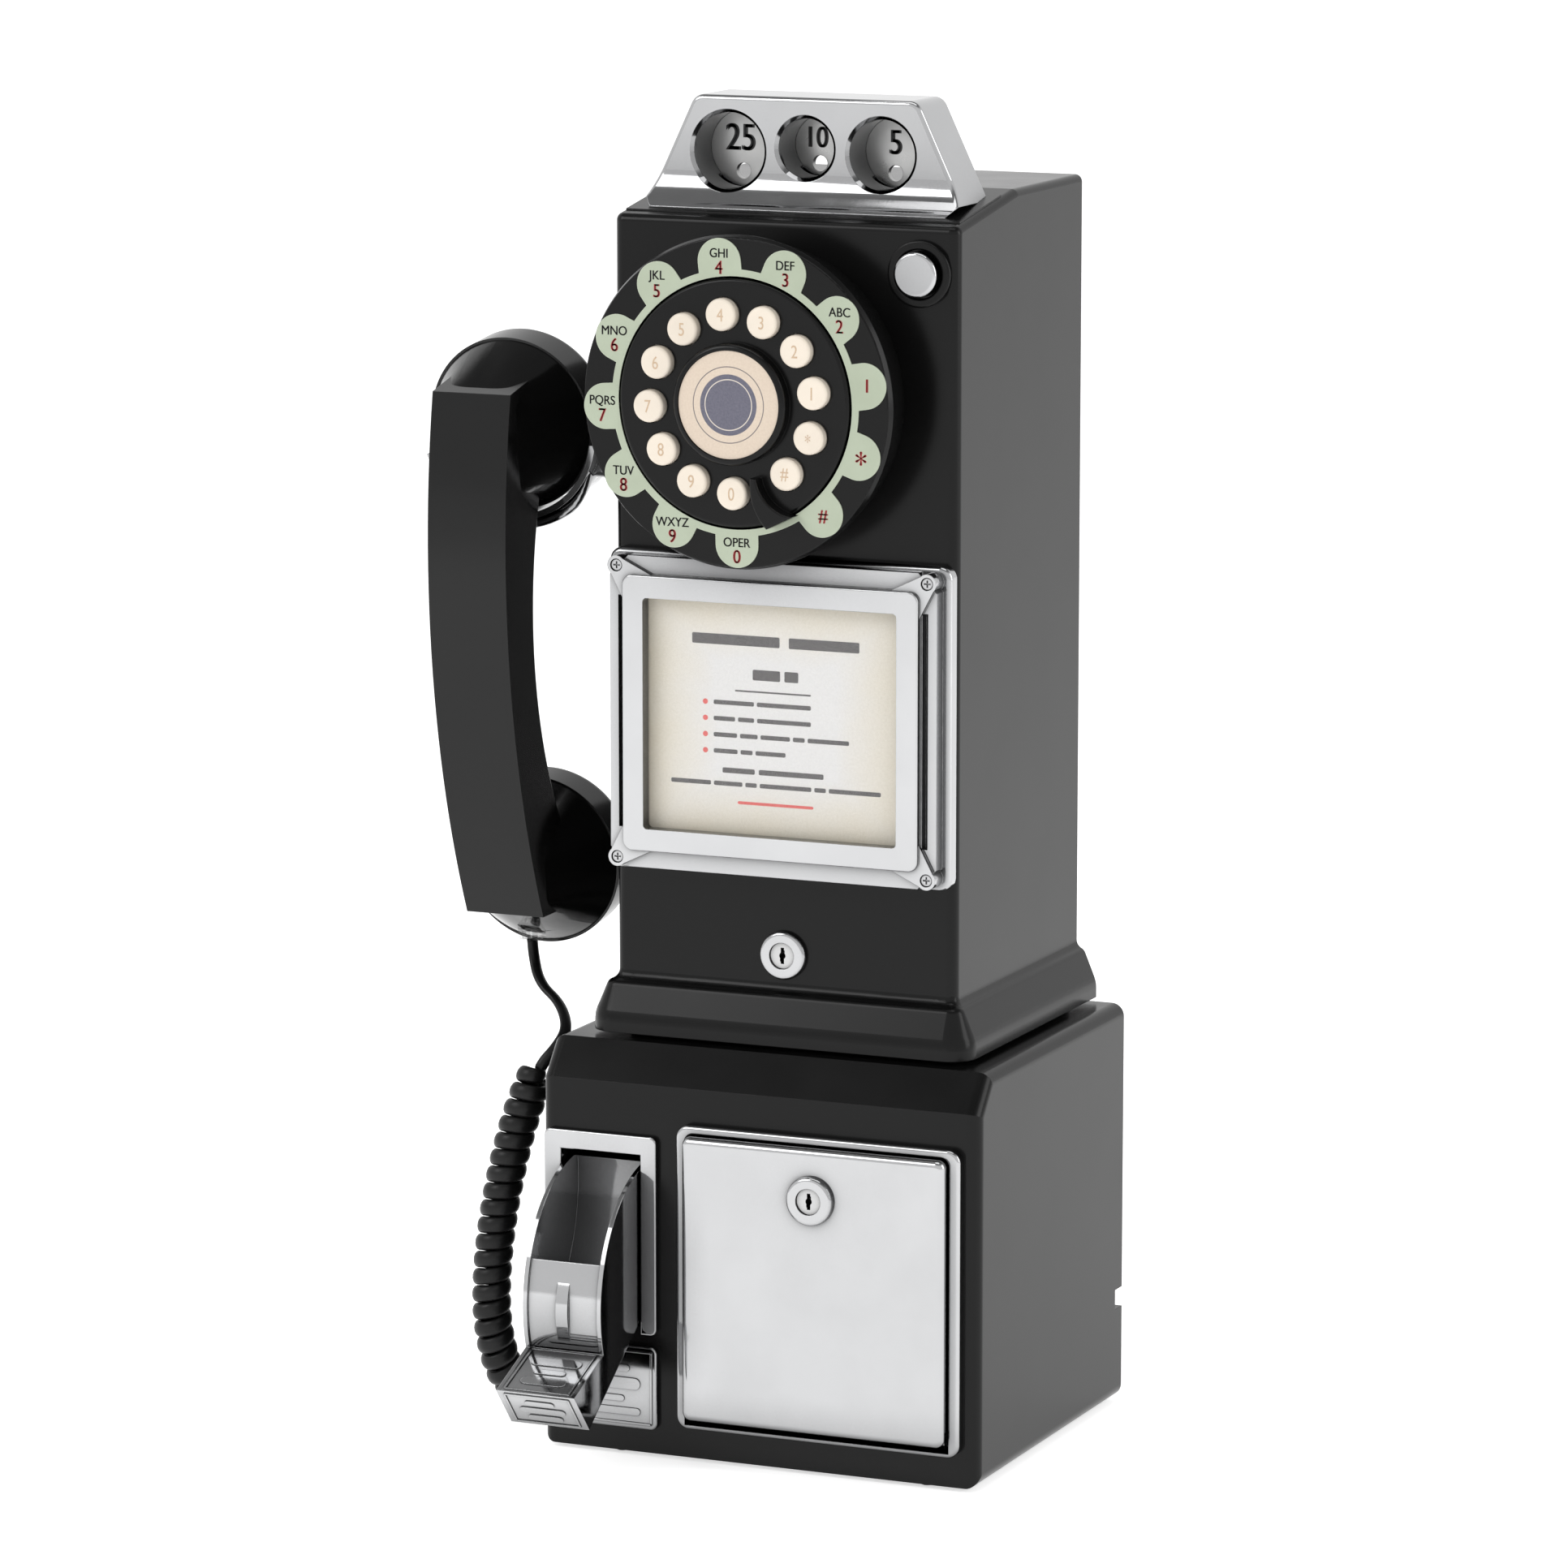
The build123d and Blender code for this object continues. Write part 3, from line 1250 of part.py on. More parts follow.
def build_cord(name, route, diameter):
    """Round cord along straight runs joined by tangent arcs."""
    radii = bend_radii(route)
    print(name, "bend radii", [round(r, 1) for r in radii])
    with BuildPart() as piece:
        with BuildLine() as spine:
            FilletPolyline(*route, radius=radii)
        path = spine.wires()[0]
        with BuildSketch(Plane(origin=path @ 0, z_dir=path % 0)):
            Circle(diameter / 2)
        sweep(path=path)
    length = path.length
    section = math.pi * diameter**2 / 4
    ratio = piece.part.volume / (length * section)
    print(name, "length", round(length, 1), "volume ratio", round(ratio, 4))
    save(piece, name)


build_cord("cord_coil", COIL_ROUTE, COIL_D)
build_cord("cord_lead_top", TOP_LEAD_ROUTE, LEAD_D)
build_cord("cord_lead_bottom", BOTTOM_LEAD_ROUTE, LEAD_D)

# modular plug in the lower end of the handset
with BuildPart() as handset_plug:
    plug_end = cross_plane(-CAP_PITCH - 26, -21)
    with BuildSketch(plug_end):
        Rectangle(7.6, 6.4)
    extrude(amount=11.5)
    with BuildSketch(plug_end.offset(1.0)):
        with Locations((0, -3.9)):
            Rectangle(3.2, 1.4)
    extrude(amount=3.0)
save(handset_plug, "handset_plug")

with BuildPart() as base_plug:
    with BuildSketch(side_plane(-88.0)):
        with Locations((JACK_Y, JACK_Z)):
            Rectangle(7.6, 6.4)
    extrude(amount=12.0)
    with BuildSketch(side_plane(-87.0)):
        with Locations((JACK_Y, JACK_Z + 3.8)):
            Rectangle(3.2, 1.4)
    extrude(amount=4.0)
save(base_plug, "base_plug")

# ----------------------------------------------------- jacks, board and ringer
with BuildPart() as base_jack:
    with BuildSketch(side_plane(-BASE_HALF_W + WALL)):
        with Locations((JACK_Y, JACK_Z)):
            Rectangle(13, 14)
    extrude(amount=15)
    with BuildSketch(side_plane(-BASE_HALF_W + WALL)):
        with Locations((JACK_Y, JACK_Z)):
            Rectangle(8.0, 7.0)
    extrude(amount=3, mode=Mode.SUBTRACT)
save(base_jack, "base_jack")

with BuildPart() as line_jack:
    # recess behind the back plate, open to the wall and to the cable notch
    with BuildSketch(front_plane(-3)):
        with Locations((66.8, 38)):
            Rectangle(21.6, 18)
    extrude(amount=23)
    with BuildSketch(front_plane(-3)):
        with Locations(LINE_JACK):
            Rectangle(20, 14)
    extrude(amount=11, mode=Mode.SUBTRACT)
    # socket for the plug of the line cord
    with BuildSketch(front_plane(-14)):
        with Locations((66, 38)):
            Rectangle(8.2, 6.8)
    extrude(amount=10, mode=Mode.SUBTRACT)
save(line_jack, "line_jack")

with BuildPart() as main_board:
    with BuildSketch(front_plane(-9)):
        with Locations((0, 250)):
            Rectangle(86, 120)
    extrude(amount=1.6)
    # spacers to the back plate
    with BuildSketch(front_plane(-3)):
        with Locations((0, 250)):
            with GridLocations(74, 108, 2, 2):
                Circle(3)
    extrude(amount=6)
    # ringing capacitors, transformer and line connector
    with BuildSketch(front_plane(-10.6)):
        with Locations((-22, 285), (-4, 285)):
            Circle(6)
        with Locations((20, 275)):
            Rectangle(26, 30)
        with Locations((-10, 215)):
            Rectangle(30, 8)
    extrude(amount=14)
save(main_board, "main_board")

with BuildPart() as ringer:
    with BuildSketch(front_plane(-3)):
        with Locations((-40, 60)):
            RectangleRounded(44, 44, 4)
    extrude(amount=8)
    with BuildSketch(front_plane(-11)):
        with Locations((-40, 60)):
            Circle(20)
    extrude(amount=5)
    with BuildSketch(front_plane(-12)):
        with Locations((-40, 60)):
            with PolarLocations(12, 6):
                Circle(1.5)
    extrude(amount=6, mode=Mode.SUBTRACT)
save(ringer, "ringer")
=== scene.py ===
import json
import math

import bmesh
import bpy
from mathutils import Matrix, Vector


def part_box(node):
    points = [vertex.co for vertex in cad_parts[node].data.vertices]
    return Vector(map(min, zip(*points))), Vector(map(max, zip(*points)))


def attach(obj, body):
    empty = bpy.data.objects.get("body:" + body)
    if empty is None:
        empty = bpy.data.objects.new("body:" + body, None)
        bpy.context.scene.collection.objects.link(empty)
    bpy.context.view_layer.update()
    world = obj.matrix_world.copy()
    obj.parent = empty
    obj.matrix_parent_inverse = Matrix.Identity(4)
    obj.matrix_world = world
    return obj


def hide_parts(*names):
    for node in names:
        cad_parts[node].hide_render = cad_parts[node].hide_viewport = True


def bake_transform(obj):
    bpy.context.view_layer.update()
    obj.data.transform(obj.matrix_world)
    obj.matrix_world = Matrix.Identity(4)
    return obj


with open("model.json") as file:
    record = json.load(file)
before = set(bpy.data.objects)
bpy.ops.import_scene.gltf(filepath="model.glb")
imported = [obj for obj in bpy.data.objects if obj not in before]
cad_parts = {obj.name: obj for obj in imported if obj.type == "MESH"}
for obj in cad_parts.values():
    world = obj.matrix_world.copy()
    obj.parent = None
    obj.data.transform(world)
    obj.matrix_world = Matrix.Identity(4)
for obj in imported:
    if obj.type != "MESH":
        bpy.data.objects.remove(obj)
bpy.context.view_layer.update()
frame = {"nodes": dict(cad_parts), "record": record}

NODES = frame["nodes"]
MM = 0.001

# ------------------------------------------------------------------- camera
# at the photograph's angle: to the object's right, looking slightly down
YAW = math.radians(23.43)
PITCH = math.radians(9.96)
EYE = (0.9713, -2.355, 0.6635)
SENSOR_WIDTH_MM = 36
LENS_MM = 167.7
FAR_CLIP = 60

right = Vector((math.cos(YAW), math.sin(YAW), 0))
forward = Vector((
    -math.sin(YAW) * math.cos(PITCH),
    math.cos(YAW) * math.cos(PITCH),
    -math.sin(PITCH),
))
up = right.cross(forward)
camera_data = bpy.data.cameras.new("camera")
camera_data.sensor_width = SENSOR_WIDTH_MM
camera_data.lens = LENS_MM
camera_data.clip_end = FAR_CLIP
camera = bpy.data.objects.new("camera", camera_data)
camera.matrix_world = Matrix((
    (right.x, up.x, -forward.x, EYE[0]),
    (right.y, up.y, -forward.y, EYE[1]),
    (right.z, up.z, -forward.z, EYE[2]),
    (0, 0, 0, 1),
))
bpy.context.scene.collection.objects.link(camera)
bpy.context.scene.camera = camera


# ---------------------------------------------------------------- materials
BEVEL_SAMPLES = 4
OCCLUSION_SAMPLES = 6


class Surface:
    """A Principled material with helpers for its nodes. Patterns are in metres on the part."""

    def __init__(self, name):
        self.material = bpy.data.materials.new(name)
        self.material.use_nodes = True
        self.tree = self.material.node_tree
        self.shader = self.tree.nodes["Principled BSDF"]
        self.place = self.tree.nodes.new("ShaderNodeTexCoord").outputs["Object"]

    def set(self, **values):
        for key, value in values.items():
            self.shader.inputs[key.replace("_", " ")].default_value = value

    def link(self, output, socket):
        self.tree.links.new(output, self.shader.inputs[socket])

    def noise(self, size, detail=4.0, stretch=(1, 1, 1)):
        """Noise whose features are about size metres across."""
        mapping = self.tree.nodes.new("ShaderNodeMapping")
        mapping.inputs["Scale"].default_value = stretch
        self.tree.links.new(self.place, mapping.inputs["Vector"])
        node = self.tree.nodes.new("ShaderNodeTexNoise")
        node.inputs["Scale"].default_value = 1 / size
        node.inputs["Detail"].default_value = detail
        self.tree.links.new(mapping.outputs["Vector"], node.inputs["Vector"])
        return node.outputs["Fac"]

    def span(self, value, low, high, to_low=0.0, to_high=1.0):
        """Value from low..high, stretched to to_low..to_high and clamped there."""
        node = self.tree.nodes.new("ShaderNodeMapRange")
        node.inputs["From Min"].default_value = low
        node.inputs["From Max"].default_value = high
        node.inputs["To Min"].default_value = to_low
        node.inputs["To Max"].default_value = to_high
        self.tree.links.new(value, node.inputs["Value"])
        return node.outputs["Result"]

    def math(self, operation, a, b):
        node = self.tree.nodes.new("ShaderNodeMath")
        node.operation = operation
        for socket, value in zip(node.inputs, (a, b)):
            if isinstance(value, (int, float)):
                socket.default_value = value
            else:
                self.tree.links.new(value, socket)
        return node.outputs["Value"]

    def mix(self, factor, a, b):
        """Colour between a and b, which are colours or outputs."""
        node = self.tree.nodes.new("ShaderNodeMix")
        node.data_type = "RGBA"
        self.tree.links.new(factor, node.inputs["Factor"])
        for socket, value in ((node.inputs[6], a), (node.inputs[7], b)):
            if isinstance(value, tuple):
                socket.default_value = (*value, 1)
            else:
                self.tree.links.new(value, socket)
        return node.outputs[2]

    def edges(self, radius, strength=9.0):
        """1 on edges sharper than radius, 0 on flat faces."""
        bevel = self.tree.nodes.new("ShaderNodeBevel")
        bevel.samples = BEVEL_SAMPLES
        bevel.inputs["Radius"].default_value = radius
        geometry = self.tree.nodes.new("ShaderNodeNewGeometry")
        dot = self.tree.nodes.new("ShaderNodeVectorMath")
        dot.operation = "DOT_PRODUCT"
        self.tree.links.new(bevel.outputs["Normal"], dot.inputs[0])
        self.tree.links.new(geometry.outputs["Normal"], dot.inputs[1])
        away = self.math("SUBTRACT", 1.0, dot.outputs["Value"])
        return self.math("MINIMUM", self.math("MULTIPLY", away, strength), 1.0)

    def open_sky(self, reach, power):
        """1 on open surfaces, towards 0 deep in hollows and gaps, where it paints shade into the
        colour.
        """
        node = self.tree.nodes.new("ShaderNodeAmbientOcclusion")
        node.samples = OCCLUSION_SAMPLES
        node.inputs["Distance"].default_value = reach
        return self.math("POWER", node.outputs["AO"], power)

    def radius_from(self, centre):
        """Distance in metres from a line through centre that runs front to back."""
        node = self.tree.nodes.new("ShaderNodeVectorMath")
        node.operation = "DISTANCE"
        flat = self.tree.nodes.new("ShaderNodeVectorMath")
        flat.operation = "MULTIPLY"
        flat.inputs[1].default_value = (1, 0, 1)
        self.tree.links.new(self.place, flat.inputs[0])
        self.tree.links.new(flat.outputs["Vector"], node.inputs[0])
        node.inputs[1].default_value = (centre.x, 0, centre.z)
        return node.outputs["Value"]

    def bump(self, height, distance, strength, rounded=None):
        """Relief of height over distance metres, with edges softened to the radius rounded."""
        node = self.tree.nodes.new("ShaderNodeBump")
        node.inputs["Distance"].default_value = distance
        node.inputs["Strength"].default_value = strength
        self.tree.links.new(height, node.inputs["Height"])
        if rounded is not None:
            bevel = self.tree.nodes.new("ShaderNodeBevel")
            bevel.samples = BEVEL_SAMPLES
            bevel.inputs["Radius"].default_value = rounded
            self.tree.links.new(bevel.outputs["Normal"], node.inputs["Normal"])
        self.link(node.outputs["Normal"], "Normal")


def grey(value):
    return (value, value, value)


def plastic(name, colour, worn, rough, grain=0.0005, depth=0.000005, level=0.5):
    """Moulded plastic: faint mottling, fine skin, handling smudges and paler worn edges."""
    s = Surface(name)
    mottle = s.span(s.noise(0.03), 0.3, 0.7)
    lighter = tuple(min(1.0, c * 1.12 + 0.0004) for c in colour)
    body = s.mix(mottle, colour, lighter)
    rub = s.math("MULTIPLY", s.edges(0.00045), s.span(s.noise(0.006), 0.42, 0.62, 0.1, 0.5))
    s.link(s.mix(rub, body, worn), "Base Color")
    smudge = s.span(s.noise(0.03, 3.0), 0.35, 0.75, rough * 0.93, rough * 1.1)
    s.link(s.math("ADD", smudge, s.math("MULTIPLY", rub, 0.12)), "Roughness")
    s.set(Specular_IOR_Level=level)
    s.bump(s.noise(grain, 3.0), depth, 0.5, rounded=0.0003)
    return s


def metal(name, colour, rough, brushed=None, rounded=0.00035, hollow_shade_power=2.0):
    """Plated or brushed metal: cloudy polish, fine scratches, dull edges and painted shade in
    hollows and gaps.
    """
    s = Surface(name)
    cloudy, hollow_shade_tone, dull = (tuple(c * share for c in colour) for share in (0.95, 0.08, 0.72))
    polish = s.mix(s.span(s.noise(0.022, 6.0), 0.35, 0.7), colour, cloudy)
    # painted shade: ambient occlusion darkens the colour towards a dark share in hollows and gaps
    body = s.mix(s.open_sky(0.03, hollow_shade_power), hollow_shade_tone, polish)
    dulled = s.math("MULTIPLY", s.edges(0.0004), s.span(s.noise(0.004), 0.4, 0.65, 0.1, 0.6))
    s.link(s.mix(dulled, body, dull), "Base Color")
    smear = s.span(s.noise(0.012, 6.0), 0.3, 0.75, rough * 0.75, rough * 1.45)
    s.link(s.math("ADD", smear, s.math("MULTIPLY", dulled, 0.1)), "Roughness")
    s.set(Metallic=1.0)
    if brushed:
        s.bump(s.noise(0.0009, 3.0, brushed), 0.000006, 0.6, rounded)
    else:
        s.bump(s.noise(0.0009, 3.0), 0.000006, 0.35, rounded)
    return s


MATERIALS = {
    "black_shell": plastic("black_shell", grey(0.0028), grey(0.018), 0.22, level=0.2),
    "back_plastic": plastic(
        "back_plastic", grey(0.012), grey(0.04), 0.48, grain=0.0009, depth=0.00003, level=0.35
    ),
    "handset_plastic": plastic(
        "handset_plastic", grey(0.003), grey(0.02), 0.14, depth=0.000003, level=0.3
    ),
    "dark_plastic": plastic("dark_plastic", grey(0.02), grey(0.06), 0.45),
    "ivory_key": plastic(
        "ivory_key", (0.66, 0.59, 0.5), (0.72, 0.65, 0.56), 0.34, grain=0.0012, depth=0.00001
    ),
    "rubber_mat": plastic(
        "rubber_mat", (0.1, 0.1, 0.105), grey(0.16), 0.7, grain=0.0004, depth=0.00004
    ),
    "chrome": metal("chrome", (0.5, 0.503, 0.51), 0.07),
    "lock_metal": metal("lock_metal", grey(0.53), 0.12, rounded=0.0002),
    "gauge_metal": metal(
        "gauge_metal", (0.62, 0.62, 0.615), 0.34, brushed=(0.15, 1, 3), hollow_shade_power=0.35
    ),
    "steel": metal("steel", grey(0.5), 0.3, brushed=(1, 0.2, 1)),
    "inner_metal": metal("inner_metal", (0.42, 0.42, 0.43), 0.38, brushed=(1, 1, 0.15)),
}


def painted_ring():
    """Pale green enamel: soft mottling, fine grain and a paler rubbed rim."""
    s = Surface("green_ring")
    tone = s.mix(s.span(s.noise(0.014, 5.0), 0.3, 0.7), (0.355, 0.4, 0.3), (0.39, 0.44, 0.335))
    rim = s.math("MULTIPLY", s.edges(0.0005), 0.5)
    s.link(s.mix(rim, tone, (0.52, 0.57, 0.46)), "Base Color")
    s.link(s.span(s.noise(0.01), 0.3, 0.7, 0.32, 0.46), "Roughness")
    s.bump(s.noise(0.0005, 2.0), 0.000012, 0.5, rounded=0.00015)
    return s


def round_label():
    """Cream paper ring round a navy disc, with two fine printed circles."""
    s = Surface("label_card")
    low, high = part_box("center_label")
    away = s.radius_from((low + high) / 2)
    fibre = s.span(s.noise(0.0007, 5.0), 0.3, 0.7)
    cream = s.mix(fibre, (0.58, 0.48, 0.385), (0.63, 0.53, 0.43))
    navy = s.mix(fibre, (0.092, 0.09, 0.125), (0.125, 0.122, 0.162))
    disc_radius = 0.0103
    paper = s.mix(s.span(away, disc_radius + 0.0001, disc_radius - 0.0001), cream, navy)
    for circle, tint in ((0.0085, (0.6, 0.54, 0.47)), (0.0128, (0.16, 0.14, 0.14))):
        off = s.math("ABSOLUTE", s.math("SUBTRACT", away, circle), 0)
        paper = s.mix(s.span(off, 0.00022, 0.00012), paper, tint)
    s.link(paper, "Base Color")
    s.link(s.span(s.noise(0.008), 0.3, 0.7, 0.3, 0.42), "Roughness")
    s.bump(fibre, 0.00001, 0.5)
    return s


def printed_card():
    """Aged card: warm, uneven edges round a paler middle, with paper fibre."""
    s = Surface("card_paper")
    low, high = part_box("card")
    middle = (low + high) / 2
    half = (high - low) / 2
    split = s.tree.nodes.new("ShaderNodeSeparateXYZ")
    s.tree.links.new(s.place, split.inputs[0])
    across = s.math("ABSOLUTE", s.math("SUBTRACT", split.outputs["X"], middle.x), 0)
    along = s.math("ABSOLUTE", s.math("SUBTRACT", split.outputs["Z"], middle.z), 0)
    edge = s.math("MAXIMUM", s.math("DIVIDE", across, half.x), s.math("DIVIDE", along, half.z))
    wavy = s.math("ADD", edge, s.span(s.noise(0.02), 0, 1, -0.12, 0.12))
    aged = s.span(wavy, 0.45, 1.02)
    fibre = s.span(s.noise(0.0008, 6.0), 0.3, 0.7)
    pale = s.mix(fibre, (0.82, 0.81, 0.8), (0.88, 0.87, 0.86))
    warm = s.mix(fibre, (0.8, 0.73, 0.58), (0.86, 0.79, 0.65))
    s.link(s.mix(aged, pale, warm), "Base Color")
    s.link(s.span(s.noise(0.006), 0.3, 0.7, 0.45, 0.6), "Roughness")
    s.bump(fibre, 0.00001, 0.5)
    return s


def clear(name, rough, tint):
    """Clear plastic with faint smears and ripples."""
    s = Surface(name)
    s.set(Base_Color=(*tint, 1), IOR=1.45, Transmission_Weight=1.0, Alpha=0.2)
    s.link(s.span(s.noise(0.012, 5.0), 0.35, 0.75, rough * 0.6, rough * 1.6), "Roughness")
    s.bump(s.noise(0.002, 2.0), 0.000004, 0.3)
    return s


def board():
    """Green solder mask with copper runs under it."""
    s = Surface("circuit_board")
    voronoi = s.tree.nodes.new("ShaderNodeTexVoronoi")
    voronoi.feature = "DISTANCE_TO_EDGE"
    voronoi.inputs["Scale"].default_value = 260
    s.tree.links.new(s.place, voronoi.inputs["Vector"])
    runs = s.span(voronoi.outputs["Distance"], 0.09, 0.05)
    mask = s.mix(s.span(s.noise(0.01), 0.3, 0.7), (0.012, 0.07, 0.03), (0.02, 0.11, 0.045))
    s.link(s.mix(runs, mask, (0.06, 0.2, 0.08)), "Base Color")
    s.link(s.span(s.noise(0.004), 0.3, 0.7, 0.3, 0.45), "Roughness")
    s.bump(runs, 0.00003, 0.6)
    return s


def cord_rubber():
    """Soft vinyl cord jacket: fine grain and paler dusty patches."""
    s = Surface("cord_black")
    dust = s.span(s.noise(0.011, 6.0), 0.42, 0.72)
    s.link(s.mix(dust, (0.004, 0.004, 0.004), (0.009, 0.009, 0.0095)), "Base Color")
    s.link(s.span(s.noise(0.007, 5.0), 0.3, 0.7, 0.3, 0.45), "Roughness")
    s.set(Specular_IOR_Level=0.26)
    s.bump(s.noise(0.0005, 3.0), 0.00001, 0.5)
    return s


def ink(name, colour, paler):
    """Printing ink with slightly uneven cover."""
    s = Surface(name)
    s.link(s.mix(s.span(s.noise(0.0006, 4.0), 0.35, 0.75), colour, paler), "Base Color")
    s.link(s.span(s.noise(0.003), 0.3, 0.7, 0.4, 0.55), "Roughness")
    s.bump(s.noise(0.0004, 2.0), 0.00001, 0.4)
    return s


MATERIALS["green_ring"] = painted_ring()
MATERIALS["label_card"] = round_label()
MATERIALS["card_paper"] = printed_card()
MATERIALS["clear_window"] = clear("clear_window", 0.05, (0.97, 0.98, 0.97))
MATERIALS["clear_plug"] = clear("clear_plug", 0.12, (0.95, 0.96, 0.95))
MATERIALS["circuit_board"] = board()
MATERIALS["cord_black"] = cord_rubber()
INK_BLACK = ink("ink_black", (0.012, 0.012, 0.012), (0.03, 0.03, 0.03))
INK_RED = ink("ink_red", (0.28, 0.018, 0.02), (0.36, 0.035, 0.035))
INK_GREY = ink("ink_grey", (0.1, 0.095, 0.095), (0.15, 0.145, 0.145))
INK_BULLET = ink("ink_bullet", (0.62, 0.12, 0.11), (0.7, 0.18, 0.16))
INK_GAUGE = ink("ink_gauge", (0.01, 0.01, 0.01), (0.025, 0.025, 0.025))
KEY_MARK = ink("key_mark", (0.5, 0.36, 0.24), (0.56, 0.42, 0.29))

# every CAD node shows the finish of its slot in the record
slot_of = {row["node"]: row["material_slot"] for row in frame["record"]["subparts"]}
for node_name, node_object in NODES.items():
    finish = MATERIALS[slot_of[node_name]].material
    if not node_object.material_slots:
        node_object.data.materials.append(finish)
    for place in node_object.material_slots:
        place.material = finish


# ------------------------------------------------------------ piece helpers
def add_piece(name, mesh, material, body, smooth=False):
    """A visible piece that rides on body, or on none."""
    mesh.materials.append(material.material)
    for face in mesh.polygons:
        face.use_smooth = smooth
    piece = bpy.data.objects.new(name, mesh)
    bpy.context.scene.collection.objects.link(piece)
    if body:
        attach(piece, body)
    return piece


def mesh_of(data):
    """The mesh that curve or text data gives, in metres at the origin."""
    holder = bpy.data.objects.new(data.name, data)
    bpy.context.scene.collection.objects.link(holder)
    bpy.context.view_layer.update()
    depsgraph = bpy.context.evaluated_depsgraph_get()
    mesh = bpy.data.meshes.new_from_object(holder.evaluated_get(depsgraph))
    bpy.data.objects.remove(holder)
    return mesh


# --------------------------------------------------------------------- cord
# from the plug in the left wall, up through the coil, to the plug in the handset
ROUTE = [
    (-0.088, -0.072, 0.017),
    (-0.094, -0.072, 0.017),
    (-0.0952, -0.0765, 0.0105),
    (-0.0967, -0.0835, 0.0068),
    (-0.0995, -0.0905, 0.0073),
    (-0.1035, -0.1005, 0.008),
    (-0.107, -0.1095, 0.014),
    (-0.109, -0.1155, 0.027),
    (-0.110, -0.118, 0.045),
    (-0.1085, -0.116, 0.072),
    (-0.103, -0.112, 0.104),
    (-0.0955, -0.108, 0.127),
    (-0.0905, -0.1035, 0.1335),
    (-0.0905, -0.0945, 0.1385),
    (-0.0970, -0.0865, 0.1455),
    (-0.107, -0.0825, 0.151),
    (-0.1125, -0.07595, 0.15936),
    (-0.1125, -0.0768, 0.1658),
]
COIL_FIRST = ROUTE[4]
COIL_LAST = ROUTE[11]
COIL_R = 0.0052
TURNS = 23
SWELL_TURNS = 0.8
POINTS_PER_TURN = 24
LOWER_LEAD_POINTS = 14
UPPER_LEAD_POINTS = 40
WIRE_WIDTH = 0.0058
WIRE_THICK = 0.0034
LEAD_HALF_WIDTH = 0.0021
LEAD_HALF_THICK = 0.0013
RIM = 14

curve = bpy.data.curves.new("route", "CURVE")
curve.dimensions = "3D"
curve.resolution_u = 40
spline = curve.splines.new("NURBS")
spline.points.add(len(ROUTE) - 1)
for point, place in zip(spline.points, ROUTE):
    point.co = (*place, 1)
spline.order_u = 3
spline.use_endpoint_u = True
line = [v.co.copy() for v in mesh_of(curve).vertices]

reach = [0.0]
for a, b in zip(line, line[1:]):
    reach.append(reach[-1] + (b - a).length)


def nearest_reach(place):
    """Distance along the route to the point nearest place."""
    return min(zip(line, reach), key=lambda pair: (pair[0] - Vector(place)).length)[1]


def at_reach(s):
    """Point and direction at a distance s along the route."""
    k = 1
    while k < len(reach) - 1 and reach[k] < s:
        k += 1
    a, b = line[k - 1], line[k]
    return a.lerp(b, (s - reach[k - 1]) / (reach[k] - reach[k - 1])), (b - a).normalized()


def ease(t):
    """Smooth step from 0 to 1."""
    t = max(0.0, min(1.0, t))
    return t * t * (3 - 2 * t)


# where the tube has a ring of vertices: the lower lead, the turns, then the upper lead
coil_from = nearest_reach(COIL_FIRST)
coil_to = nearest_reach(COIL_LAST)
stations = [coil_from * k / LOWER_LEAD_POINTS for k in range(LOWER_LEAD_POINTS)]
steps = TURNS * POINTS_PER_TURN
stations += [coil_from + (coil_to - coil_from) * k / steps for k in range(steps + 1)]
stations += [
    coil_to + (reach[-1] - coil_to) * k / UPPER_LEAD_POINTS for k in range(1, UPPER_LEAD_POINTS + 1)
]

centres = []
outward = []
side = Vector((0, 0, 1))
for s in stations:
    centre, along = at_reach(s)
    side = (side - along * side.dot(along)).normalized()
    share = (s - coil_from) / (coil_to - coil_from)
    angle = 2 * math.pi * TURNS * max(0.0, min(1.0, share))
    swell = ease(share * TURNS / SWELL_TURNS) * ease((1 - share) * TURNS / SWELL_TURNS)
    radial = side * math.cos(angle) + along.cross(side) * math.sin(angle)
    centres.append(centre + radial * COIL_R * swell)
    outward.append((radial, swell))

cord_mesh = bpy.data.meshes.new("handset_cord")
build = bmesh.new()
rings = []
for k, centre in enumerate(centres):
    before = centres[max(k - 1, 0)]
    after = centres[min(k + 1, len(centres) - 1)]
    along = (after - before).normalized()
    radial, swell = outward[k]
    thick = (radial - along * radial.dot(along)).normalized()
    wide = along.cross(thick)
    half_wide = LEAD_HALF_WIDTH + (WIRE_WIDTH / 2 - LEAD_HALF_WIDTH) * swell
    half_thick = LEAD_HALF_THICK + (WIRE_THICK / 2 - LEAD_HALF_THICK) * swell
    ring = []
    for step in range(RIM):
        turn = 2 * math.pi * step / RIM
        w = math.cos(turn) * half_wide
        t = math.sin(turn) * half_thick
        ring.append(build.verts.new(centre + wide * w + thick * t))
    rings.append(ring)
for ring, following in zip(rings, rings[1:]):
    for step in range(RIM):
        nxt = (step + 1) % RIM
        build.faces.new((ring[step], ring[nxt], following[nxt], following[step]))
build.faces.new(list(reversed(rings[0])))
build.faces.new(rings[-1])
bmesh.ops.recalc_face_normals(build, faces=build.faces)
build.to_mesh(cord_mesh)
build.free()
cord = add_piece(
    "handset_cord", cord_mesh, MATERIALS["cord_black"], None, smooth=True
)
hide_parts("cord_coil", "cord_lead_top", "cord_lead_bottom")
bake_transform(cord)


